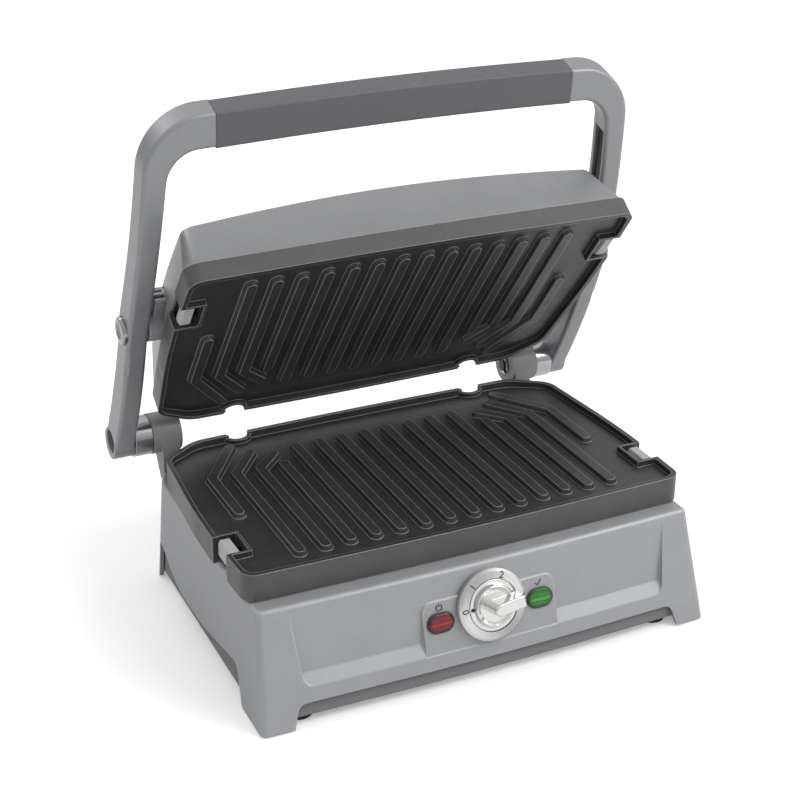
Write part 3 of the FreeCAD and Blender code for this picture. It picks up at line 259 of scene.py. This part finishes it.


# a moulded, painted or coated finish with edges lightened as rubbed paint and as a painted highlight, dust and
# smears
def coatedFinish(name, look, area=None):
    material, tree, shader = startMaterial(name)
    colour = look["colour"]
    if area:
        colour = mixColours(tree, area(tree), colour, look["areaColour"])
    skin = fillGroup(tree, skinGroup, {
        "Colour": colour, "Drift": look["drift"], "Grain Size": look["grain"],
        "Roughness": look["rough"], "Roughness Drift": look["roughDrift"], "Fleck": look["fleck"]})
    edge = fillGroup(tree, edgeGroup, {"Width": look["edgeWidth"], "Break Up": look["edgeBreak"]})
    grime = fillGroup(tree, filmGroup, {"Dust": look["dust"], "Smudge": look["smudge"]})
    # the lighter edge colour is partly rubbed paint and partly a painted highlight along the edges
    wornAndHighlit = mathNode(tree, "MULTIPLY", edge.outputs["Mask"], look["edgeShare"])
    colour = mixColours(tree, wornAndHighlit, skin.outputs["Colour"], look["edgeColour"])
    colour = mixColours(tree, grime.outputs["Dust Mask"], colour, look["dustColour"])
    rough = mathNode(tree, "ADD", skin.outputs["Roughness"],
                     mathNode(tree, "MULTIPLY", grime.outputs["Smudge Mask"], look["smudgeRough"]))
    dusty = times(tree, grime.outputs["Dust Mask"], film["dustRough"])
    rough = mathNode(tree, "ADD", rough, dusty, clamp=True)
    rounded = addNode(tree, "ShaderNodeBevel", {"Radius": look["softCorner"]}, samples=4).outputs[0]
    bump = addNode(tree, "ShaderNodeBump", {"Height": skin.outputs["Grain"], "Strength": look["bump"],
                                            "Distance": look["bumpDepth"], "Normal": rounded})
    setShader(tree, shader, {
        "Base Color": colour, "Roughness": rough, "Metallic": look["metal"],
        "Normal": bump.outputs[0], "Coat Weight": look["coat"], "Coat Roughness": look["coatRough"],
        "Specular IOR Level": look["specular"]})
    return material


# edgeColour and edgeShare set the lighter edges: partly rubbed paint, partly painted highlights along the edges
def look(**changes):
    values = {
        "colour": grey(0.3), "drift": 0.05, "grain": 0.0006, "rough": 0.42, "roughDrift": 0.05,
        "fleck": 0.0, "edgeWidth": 0.0009, "edgeBreak": 0.5, "edgeShare": 0.35,
        "edgeColour": grey(0.6), "dust": 0.12, "smudge": 0.12, "smudgeRough": 0.4,
        "dustColour": grey(0.62), "bump": 0.12, "bumpDepth": 0.0001, "metal": 0.0,
        "coat": 0.0, "coatRough": 0.2, "specular": 0.5, "softCorner": 0.0008,
        "areaColour": grey(0.3)}
    values.update(changes)
    return values


def rgb(r, g, b):
    return (r, g, b, 1.0)


# silverPaint's wide pale edges are mostly painted highlights along the housing's edges, partly rubbed paint
silverPaint = look(colour=rgb(0.350, 0.354, 0.366), metal=0.3, rough=0.44, coat=0.12, coatRough=0.34,
                   fleck=0.10, edgeWidth=0.0016, edgeShare=0.6, edgeBreak=0.2, softCorner=0.0014,
                   edgeColour=rgb(0.68, 0.685, 0.70))
armPaint = look(colour=rgb(0.285, 0.288, 0.298), metal=0.4, rough=0.4, coat=0.2, coatRough=0.3,
                fleck=0.10, edgeShare=0.4, softCorner=0.0016, edgeColour=rgb(0.5, 0.51, 0.53))
gripSkin = look(colour=rgb(0.105, 0.107, 0.115), rough=0.5, grain=0.0004, bump=0.3, edgeShare=0.3,
                edgeColour=rgb(0.36, 0.36, 0.38), smudge=0.25)
hubPlastic = look(colour=rgb(0.235, 0.235, 0.232), rough=0.45, edgeShare=0.3, edgeColour=grey(0.45))
ringPaint = look(colour=rgb(0.46, 0.47, 0.49), metal=0.95, rough=0.2, roughDrift=0.03, edgeShare=0.3,
                 edgeColour=grey(0.7))
# plateCoat's pale, strong edge colour paints the highlights along the ribs' edges
plateCoat = look(colour=rgb(0.034, 0.034, 0.035), rough=0.35, grain=0.0005, drift=0.12, fleck=0.35,
                 bump=0.3, edgeWidth=0.0008, edgeShare=0.8, edgeBreak=0.2,
                 edgeColour=rgb(0.55, 0.55, 0.55), smudge=0.3, dust=0.05, specular=0.55,
                 areaColour=rgb(0.072, 0.072, 0.073))
coverSkin = look(colour=rgb(0.16, 0.162, 0.168), rough=0.45, edgeShare=0.3, edgeColour=grey(0.4))
darkMoulding = look(colour=rgb(0.028, 0.028, 0.03), rough=0.5, edgeShare=0.2, edgeColour=grey(0.12))
latchSkin = look(colour=rgb(0.42, 0.42, 0.425), rough=0.4, edgeShare=0.4, edgeColour=grey(0.6))
footRubber = look(colour=rgb(0.03, 0.03, 0.031), rough=0.8, grain=0.0005, bump=0.5, edgeShare=0.3,
                  edgeColour=grey(0.09), dust=0.5)
brightChrome = look(colour=rgb(0.78, 0.78, 0.765), metal=1.0, rough=0.14, roughDrift=0.04, bump=0.02,
                    edgeShare=0.2, edgeColour=grey(0.9), dust=0.05, smudge=0.2, smudgeRough=0.25,
                    drift=0.03, softCorner=0.0009)
capMetal = dict(brightChrome, colour=rgb(0.36, 0.36, 0.37), rough=0.22)
dialInk = look(colour=grey(0.012), rough=0.5, edgeShare=0.0, dust=0.0)
whiteCeramic = look(colour=rgb(0.62, 0.60, 0.55), rough=0.55, edgeShare=0.3, edgeColour=grey(0.75))


rolledSteel = look(colour=grey(0.45), metal=1.0, rough=0.34, bump=0.1)
brushed = {"squeeze": (0.05, 1.0, 1.0), "scale": 900.0, "depth": 0.00005, "smearRough": 0.2,
           "roughSpread": 0.08}


# sheet metal with lines along x
def brushedFinish(name, look):
    material, tree, shader = startMaterial(name)
    lines = fillGroup(tree, brushGroup, {"Squeeze": brushed["squeeze"], "Scale": brushed["scale"]})
    edge = fillGroup(tree, edgeGroup, {"Width": look["edgeWidth"], "Break Up": look["edgeBreak"]})
    grime = fillGroup(tree, filmGroup, {"Dust": look["dust"], "Smudge": look["smudge"]})
    level = stretch(tree, lines.outputs[0], 0.25, 0.75, 0.88, 1.08)
    colour = mixColours(tree, 1.0, look["colour"], greyTint(tree, level), "MULTIPLY")
    # edges lightened as rubbed metal and as a painted highlight
    colour = mixColours(tree, mathNode(tree, "MULTIPLY", edge.outputs[0], look["edgeShare"]), colour,
                        look["edgeColour"])
    spread = brushed["roughSpread"]
    rough = stretch(tree, lines.outputs[0], 0.2, 0.8, look["rough"] - spread, look["rough"] + spread)
    smeared = times(tree, grime.outputs["Smudge Mask"], brushed["smearRough"])
    rough = mathNode(tree, "ADD", rough, smeared, clamp=True)
    bump = addNode(tree, "ShaderNodeBump", {"Height": lines.outputs[0], "Strength": look["bump"],
                                            "Distance": brushed["depth"]})
    setShader(tree, shader, {"Base Color": colour, "Roughness": rough, "Metallic": look["metal"],
                             "Normal": bump.outputs[0]})
    return material


# a lamp window's middle, along the dial's right and up directions
def lampMiddle(node):
    low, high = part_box(node)
    middle = Vector([(a + b) / 2 for a, b in zip(low, high)])
    return middle.x, (middle - dialSeat).dot(dialUp)


lensOutline = {"halfWidth": 0.0080, "halfHeight": 0.0054, "thick": 0.0008, "out": -0.0001, "steps": 14}
lensLook = {
    "dark": 0.0049,      # fully dark this far from the middle line
    "clear": 0.0031,     # and clear up to here
    "flutes": 3600.0,    # radians of the fluting per metre of height
    # where the painted highlight line across the window runs and how it fades
    "highlightLineDrop": 0.0006,
    "highlightLineFades": 0.0008,
    "highlightLineFull": 0.0002,
}


# a tinted lamp window: clear plastic with moulded flutes behind it, dark towards its edge; light lines along the
# flutes, a glint and a bright line across it are painted highlights
def lensFinish(name, node, tint, deep):
    material, tree, shader = startMaterial(name)
    low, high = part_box(node)
    middle = [(a + b) / 2 for a, b in zip(low, high)]
    place = objectPlace(tree)
    arm = vectorMath(tree, "SUBTRACT", place, middle)
    right = vectorMath(tree, "DOT_PRODUCT", arm, dialRight)
    rise = vectorMath(tree, "DOT_PRODUCT", arm, dialUp)
    straight = lensOutline["halfWidth"] - lensOutline["halfHeight"]
    sideways = mathNode(tree, "MAXIMUM", mathNode(tree, "SUBTRACT", absolute(tree, right), straight), 0.0)
    inner = stretch(tree, hypotenuse(tree, sideways, rise), lensLook["dark"], lensLook["clear"])
    flute = mathNode(tree, "SINE", mathNode(tree, "MULTIPLY", rise, lensLook["flutes"]))
    flute = stretch(tree, flute, -1.0, 1.0, 0.15, 0.75)
    fromHighlightLine = absolute(tree, mathNode(tree, "ADD", rise, lensLook["highlightLineDrop"]))
    highlightLine = stretch(tree, fromHighlightLine, lensLook["highlightLineFades"], lensLook["highlightLineFull"])
    # painted highlights: the flutes' light lines, a glint noise and the bright line are laid into the colour
    sparkle = noise(tree, place, 500.0, 3.0, 0.6)
    sparkling = mathNode(tree, "MULTIPLY", flute, stretch(tree, sparkle, 0.3, 0.7, 0.4, 1.0))
    lit = mathNode(tree, "MAXIMUM", sparkling, highlightLine)
    colour = mixColours(tree, mathNode(tree, "MULTIPLY", lit, inner), deep, tint)
    bump = addNode(tree, "ShaderNodeBump", {"Height": flute, "Strength": 0.2, "Distance": 0.0003})
    setShader(tree, shader, {
        "Base Color": colour, "Roughness": stretch(tree, sparkle, 0.3, 0.7, 0.12, 0.22),
        "Normal": bump.outputs[0], "Emission Color": colour, "Emission Strength": 0.08,
        "Coat Weight": 0.4, "Coat Roughness": 0.08})
    return material


plateOutline = {
    "middle": -0.1005,   # from the hinge axis
    "halfX": 0.1425, "halfY": 0.088,
    "atEdge": 0.86,      # where the fourth powers of both shares add up to this
    "pocketX": 0.128, "pocketY": -0.0462, "pocketHalf": 0.0125,
    "lidGap": 0.0006,
}
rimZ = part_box("lower_plate")[1][2]


# share of the way from the middle to the plate's edge, sharpened so that corners count
def edgeShareOf(tree, value, half):
    return mathNode(tree, "POWER", absolute(tree, mathNode(tree, "DIVIDE", value, half)), 4.0)


def turnedShut(tree, value, **more):
    sockets = dict(more, Vector=value, Angle=openAngle)
    return addNode(tree, "ShaderNodeVectorRotate", sockets, rotation_type="X_AXIS").outputs[0]


# the outside of a plate keeps the paler cast look, its rim and tray are darker
def plateSkirt(rimLevel, turned):
    def build(tree):
        coordinates = addNode(tree, "ShaderNodeTexCoord")
        place = coordinates.outputs["Object"]
        normal = coordinates.outputs["Normal"]
        if turned:
            place = turnedShut(tree, place, Center=hub)
            normal = turnedShut(tree, normal)
        middle = (0.0, hub.y + plateOutline["middle"], rimLevel)
        fromMiddle = vectorMath(tree, "SUBTRACT", place, middle)
        where = addNode(tree, "ShaderNodeSeparateXYZ", {0: fromMiddle}).outputs
        facing = addNode(tree, "ShaderNodeSeparateXYZ", {0: normal}).outputs
        out = mathNode(tree, "ADD", times(tree, where[0], facing[0]), times(tree, where[1], facing[1]))
        outward = mathNode(tree, "GREATER_THAN", out, -0.02)
        shareX = edgeShareOf(tree, where[0], plateOutline["halfX"])
        shareY = edgeShareOf(tree, where[1], plateOutline["halfY"])
        shares = mathNode(tree, "ADD", shareX, shareY)
        nearRim = mathNode(tree, "GREATER_THAN", shares, plateOutline["atEdge"])
        upright = mathNode(tree, "LESS_THAN", absolute(tree, facing[2]), 0.6)
        fromPocket = absolute(tree, mathNode(tree, "SUBTRACT", where[1], plateOutline["pocketY"]))
        besidePocket = mathNode(tree, "LESS_THAN", fromPocket, plateOutline["pocketHalf"])
        beside = mathNode(tree, "GREATER_THAN", absolute(tree, where[0]), plateOutline["pocketX"])
        along = mathNode(tree, "LESS_THAN", absolute(tree, facing[0]), 0.4)
        inPocket = times(tree, besidePocket, beside, along)
        shown = mathNode(tree, "SUBTRACT", upright, inPocket, clamp=True)
        return times(tree, outward, nearRim, shown)
    return build


# swing and darkSide set the painted reflection round the spun ring
dialMetal = look(colour=grey(0.84), metal=0.75, rough=0.3, bump=0.15, edgeShare=0.3,
                 edgeColour=grey(0.85), swing=0.4, darkSide=0.55)
spunRing = {"fine": 9000.0, "round": 1.5, "depth": 0.00004, "roughSpread": 0.05}


# spun metal ring: streaks run round, and a painted reflection swings the colour from light to dark with the angle
def spunFinish(name, look):
    material, tree, shader = startMaterial(name)
    arm = vectorMath(tree, "SUBTRACT", objectPlace(tree), dialSeat)
    right = vectorMath(tree, "DOT_PRODUCT", arm, dialRight)
    rise = vectorMath(tree, "DOT_PRODUCT", arm, dialUp)
    out = vectorMath(tree, "DOT_PRODUCT", arm, dialOut)
    angle = mathNode(tree, "ARCTAN2", rise, right)
    reach = hypotenuse(tree, right, rise)
    turned = mathNode(tree, "ADD", times(tree, angle, 2.0), look["swing"])
    swing = mathNode(tree, "SINE", turned)
    fine = addNode(tree, "ShaderNodeCombineXYZ", {
        0: mathNode(tree, "MULTIPLY", reach, spunRing["fine"]),
        1: mathNode(tree, "MULTIPLY", angle, spunRing["round"]),
        2: mathNode(tree, "MULTIPLY", out, spunRing["fine"])}).outputs[0]
    lines = noise(tree, fine, 1.0, 3.0, 0.6)
    # level is the painted reflection's light and dark round the ring, with the brushed streaks
    level = mathNode(tree, "ADD", stretch(tree, swing, -1.0, 1.0, look["darkSide"], 1.0),
                     stretch(tree, lines, 0.3, 0.7, -0.06, 0.06))
    colour = mixColours(tree, 1.0, look["colour"], greyTint(tree, level), "MULTIPLY")
    # edges lightened as rubbed metal and as a painted highlight
    edge = fillGroup(tree, edgeGroup, {"Width": look["edgeWidth"], "Break Up": look["edgeBreak"]})
    colour = mixColours(tree, mathNode(tree, "MULTIPLY", edge.outputs[0], look["edgeShare"]), colour,
                        look["edgeColour"])
    bump = addNode(tree, "ShaderNodeBump", {"Height": lines, "Strength": look["bump"],
                                            "Distance": spunRing["depth"]})
    rough = stretch(tree, lines, 0.3, 0.7, look["rough"] - spunRing["roughSpread"],
                    look["rough"] + spunRing["roughSpread"])
    setShader(tree, shader, {"Base Color": colour, "Metallic": look["metal"], "Normal": bump.outputs[0],
                             "Roughness": rough})
    return material


# one finish for every slot
finishes = {
    "silver_plastic": coatedFinish("silverPaint", silverPaint),
    "dark_plastic": coatedFinish("darkMoulding", darkMoulding),
    "grip": coatedFinish("gripSkin", gripSkin),
    "hub_plastic": coatedFinish("hubPlastic", hubPlastic),
    "nonstick": coatedFinish("plateCoat", plateCoat, plateSkirt(rimZ, False)),
    "chrome": coatedFinish("brightChrome", brightChrome),
    "brushed_metal": spunFinish("spunRing", dialMetal),
    "sheet_steel": brushedFinish("rolledSteel", rolledSteel),
    "latch_plastic": coatedFinish("latchSkin", latchSkin),
    "rubber": coatedFinish("footRubber", footRubber),
    "red_lens": lensFinish("redLens", "power_lens", rgb(0.38, 0.012, 0.014), rgb(0.05, 0.004, 0.005)),
    "green_lens": lensFinish("greenLens", "ready_lens", rgb(0.045, 0.36, 0.03), rgb(0.008, 0.06, 0.006)),
    "ceramic": coatedFinish("whiteCeramic", whiteCeramic),
}
# and one for what looks different from the rest of its slot
upperSkirt = plateSkirt(rimZ + plateOutline["lidGap"], True)
special = {
    "arm": coatedFinish("armPaint", armPaint),
    "cover": coatedFinish("coverSkin", coverSkin),
    "cap": coatedFinish("capMetal", capMetal),
    "ring": coatedFinish("ringPaint", ringPaint),
    "upperPlate": coatedFinish("upperPlateCoat", plateCoat, upperSkirt),
    "ink": coatedFinish("dialInk", dialInk),
}
print("finishes made:", len(finishes) + len(special))


def dress(obj, finish):
    obj.data.materials.clear()
    obj.data.materials.append(finish)


slotOf = {part["node"]: part["material_slot"] for part in record["subparts"]}

for name, obj in nodes.items():
    dress(obj, finishes[slotOf[name]])
for side in ("_left", "_right"):
    dress(nodes["handle_arm" + side], special["arm"])
    dress(nodes["hinge_ring" + side], special["ring"])
    dress(nodes["hinge_pin" + side], finishes["dark_plastic"])
    dress(nodes["pivot_cap" + side], special["cap"])
dress(nodes["lid_shell"], special["arm"])
dress(nodes["bottom_cover"], special["cover"])
dress(nodes["upper_plate"], special["upperPlate"])
print("nodes dressed")


def addPiece(name, mesh, finish, body):
    piece = bpy.data.objects.new(name, mesh)
    bpy.context.scene.collection.objects.link(piece)
    dress(piece, finish)
    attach(piece, body)
    return piece


def onDial(right, rise, out):
    return dialSeat + dialRight * right + dialUp * rise + dialOut * out


# tube with a round section along points, closed or with flat filled ends
def tubeMesh(name, points, radius, closed=False):
    curve = bpy.data.curves.new(name, "CURVE")
    curve.dimensions = "3D"
    curve.bevel_depth = radius
    curve.bevel_resolution = 5
    spline = curve.splines.new("POLY")
    spline.points.add(len(points) - 1)
    for point, place in zip(spline.points, points):
        point.co = (place[0], place[1], place[2], 1.0)
    spline.use_cyclic_u = closed
    curve.use_fill_caps = not closed
    holder = bpy.data.objects.new(name, curve)
    mesh = bpy.data.meshes.new_from_object(holder)
    bpy.data.objects.remove(holder)
    bpy.data.curves.remove(curve)
    for polygon in mesh.polygons:
        polygon.use_smooth = True
    return mesh


# rows of points joined by faces, each row a closed ring; the first and last rows are filled
def skinMesh(name, rows):
    builder = bmesh.new()
    rings = [[builder.verts.new(point) for point in row] for row in rows]
    for lower, upper in zip(rings, rings[1:]):
        for i in range(len(lower)):
            j = (i + 1) % len(lower)
            builder.faces.new((lower[i], lower[j], upper[j], upper[i])).smooth = True
    builder.faces.new(list(reversed(rings[0])))
    builder.faces.new(rings[-1])
    bmesh.ops.recalc_face_normals(builder, faces=builder.faces)
    mesh = bpy.data.meshes.new(name)
    builder.to_mesh(mesh)
    builder.free()
    return mesh


dialMarks = {
    "height": 0.0042,
    "radius": 0.0184,
    "places": {"0": 180.0, "1": 132.0, "2": 68.0, "3": 6.0},
    "thick": 0.00006,
    "capShare": 0.7,     # a capital's share of the letter size
    "bold": 0.012,
}


# plain numbers round the ring, their tops pointing outwards
def makeDialNumbers():
    face = alongDial("dial_bezel")
    for label, degrees in dialMarks["places"].items():
        curve = bpy.data.curves.new("number", "FONT")
        curve.body = label
        curve.align_x = "CENTER"
        curve.align_y = "CENTER"
        curve.size = dialMarks["height"] / dialMarks["capShare"]
        curve.extrude = dialMarks["thick"]
        curve.offset = dialMarks["height"] * dialMarks["bold"]
        holder = bpy.data.objects.new("number", curve)
        mesh = bpy.data.meshes.new_from_object(holder)
        bpy.data.objects.remove(holder)
        angle = math.radians(degrees)
        outward = dialRight * math.cos(angle) + dialUp * math.sin(angle)
        sideways = outward.cross(dialOut)
        middle = dialSeat + outward * dialMarks["radius"] + dialOut * face
        for vertex in mesh.vertices:
            flat = vertex.co.copy()
            vertex.co = middle + sideways * flat.x + outward * flat.y + dialOut * flat.z
        addPiece("dial_number_" + label, mesh, special["ink"], "base")


pointer = {
    "from": 0.0139, "radius": 0.00105, "rise": 0.0004, "sunk": 0.0006, "steps": 24,
    "dome": ((1.0, 0.0), (1.0, 0.6), (0.86, 0.88), (0.5, 1.0), (0.1, 1.04)),  # radius and rise shares
}


# small dome on the knob's skirt that points at the number
def makePointerDot():
    foot = alongDial("dial_bezel") - pointer["sunk"]
    rows = []
    for share, lift in pointer["dome"]:
        row = []
        for i in range(pointer["steps"]):
            a = 2 * math.pi * i / pointer["steps"]
            row.append(onDial(-pointer["from"] + math.cos(a) * pointer["radius"] * share,
                              math.sin(a) * pointer["radius"] * share, foot + lift * pointer["rise"]))
        rows.append(row)
    addPiece("pointer_dot", skinMesh("pointerDot", rows), special["ink"], "knob")


# thin dark ring round each lamp window
def makeLensOutlines():
    for node in ("power_lens", "ready_lens"):
        middleX, rise = lampMiddle(node)
        spread = lensOutline["halfWidth"] - lensOutline["halfHeight"]
        points = []
        for side in (1, -1):
            for i in range(lensOutline["steps"] + 1):
                a = math.pi * (i / lensOutline["steps"] - 0.5)
                right = side * (spread + math.cos(a) * lensOutline["halfHeight"])
                up = side * math.sin(a) * lensOutline["halfHeight"]
                points.append(onDial(middleX + right, rise + up, lensOutline["out"]))
        mesh = tubeMesh("lensOutline", points, lensOutline["thick"], closed=True)
        addPiece(node.replace("lens", "dark_ring"), mesh, finishes["dark_plastic"], "base")


lampMarks = {"above": 0.0092, "size": 0.0019, "stroke": 0.00022, "out": -0.00045}


# small generic marks over the lamps: a broken ring with a bar, and a tick
def makeLampMarks():
    size = lampMarks["size"]
    for node in ("power_lens", "ready_lens"):
        middleX, rise = lampMiddle(node)
        rise += lampMarks["above"]
        strokes = []
        if node == "power_lens":
            strokes.append([(math.cos(math.radians(a)) * size, math.sin(math.radians(a)) * size)
                            for a in range(125, 416, 10)])
            strokes.append([(0.0, size * 0.25), (0.0, size * 1.25)])
        else:
            strokes.append([(-size, 0.0), (-size * 0.25, -size * 0.8), (size * 1.05, size)])
        for number, stroke in enumerate(strokes):
            points = [onDial(middleX + a, rise + b, lampMarks["out"]) for a, b in stroke]
            mesh = tubeMesh("lampMark", points, lampMarks["stroke"])
            name = node.replace("lens", "mark") + "_" + str(number)
            addPiece(name, mesh, special["ink"], "base")


makeDialNumbers()
makePointerDot()
makeLensOutlines()
makeLampMarks()
print("dial marks and lamp dark_rings made")


view = {
    "place": Vector((-419.47, -731.87 - 216.0, 582.77)) * mm,  # measured from the hinge axis in y
    "yaw": math.radians(25.85),
    "pitch": math.radians(25.50),
    "roll": math.radians(0.53),
    "lens": 76.42,
    "sensor": 36.0,
}


def makeCamera():
    data = bpy.data.cameras.new("camera")
    data.lens = view["lens"]
    data.sensor_width = view["sensor"]
    camera = bpy.data.objects.new("camera", data)
    bpy.context.scene.collection.objects.link(camera)
    camera.location = Vector((view["place"].x, hub.y + view["place"].y, view["place"].z))
    turn = Matrix.Rotation(-view["yaw"], 4, "Z") @ Matrix.Rotation(math.pi / 2 - view["pitch"], 4, "X")
    turn = turn @ Matrix.Rotation(view["roll"], 4, "Z")
    camera.rotation_euler = turn.to_euler()
    bpy.context.scene.camera = camera


lampTarget = Vector((0.0, 0.0, 0.15))
lamps = {
    "keyLamp": {"place": (1.5, -1.5, 2.2), "size": (1.4, 1.4), "power": 34},
    "sideLamp": {"place": (1.9, -0.6, 1.2), "size": (0.9, 1.6), "power": 10},
    "rearLamp": {"place": (-0.6, 1.9, 1.7), "size": (1.6, 0.8), "power": 14},
}


def makeLamp(name, place, size, power):
    data = bpy.data.lights.new(name, "AREA")
    data.shape = "RECTANGLE"
    data.size, data.size_y = size
    data.energy = power
    lamp = bpy.data.objects.new(name, data)
    bpy.context.scene.collection.objects.link(lamp)
    lamp.location = place
    lamp.rotation_euler = (lampTarget - Vector(place)).to_track_quat("-Z", "Y").to_euler()


studio = {"low": 0.42, "high": 0.85, "from": 0.0, "to": 0.8}


# 1 where the room shows straight or through glass, 0 for the light it sheds
def seenStraight(tree):
    path = addNode(tree, "ShaderNodeLightPath").outputs
    return mathNode(tree, "ADD", path["Is Camera Ray"], path["Is Transmission Ray"], clamp=True)


# white where it is seen, and a soft room that is brighter overhead for everything else
def makeWorld():
    world = bpy.data.worlds.new("studio")
    bpy.context.scene.world = world
    world.use_nodes = True
    tree = world.node_tree
    tree.nodes.clear()
    coordinates = addNode(tree, "ShaderNodeTexCoord")
    rise = addNode(tree, "ShaderNodeSeparateXYZ", {0: coordinates.outputs["Generated"]}).outputs[2]
    level = stretch(tree, rise, studio["from"], studio["to"], studio["low"], studio["high"])
    room = addNode(tree, "ShaderNodeBackground", {"Color": grey(1.0), "Strength": level})
    white = addNode(tree, "ShaderNodeBackground", {"Color": grey(1.0), "Strength": 1.0})
    sides = {0: seenStraight(tree), 1: room.outputs[0], 2: white.outputs[0]}
    mixed = addNode(tree, "ShaderNodeMixShader", sides)
    addNode(tree, "ShaderNodeOutputWorld", {0: mixed.outputs[0]})


paleFloor = {"half": 9.0, "grey": 0.80, "glow": 0.30}


def makeFloor():
    mesh = bpy.data.meshes.new("floor")
    builder = bmesh.new()
    bmesh.ops.create_grid(builder, x_segments=8, y_segments=8, size=paleFloor["half"])
    builder.to_mesh(mesh)
    builder.free()
    floor = bpy.data.objects.new("floor", mesh)
    bpy.context.scene.collection.objects.link(floor)
    material = bpy.data.materials.new("paleFloor")
    material.use_nodes = True
    tree = material.node_tree
    tree.nodes.clear()
    matt = addNode(tree, "ShaderNodeBsdfDiffuse", {"Color": grey(paleFloor["grey"])})
    strength = times(tree, seenStraight(tree), paleFloor["glow"])
    glow = addNode(tree, "ShaderNodeEmission", {"Color": grey(1.0), "Strength": strength})
    total = addNode(tree, "ShaderNodeAddShader", {0: matt.outputs[0], 1: glow.outputs[0]})
    addNode(tree, "ShaderNodeOutputMaterial", {0: total.outputs[0]})
    floor.data.materials.append(material)


makeCamera()
makeWorld()
makeFloor()
for name, lamp in lamps.items():
    makeLamp(name, **lamp)
bpy.context.scene.view_settings.view_transform = "Standard"
print("camera, lamps and floor set")
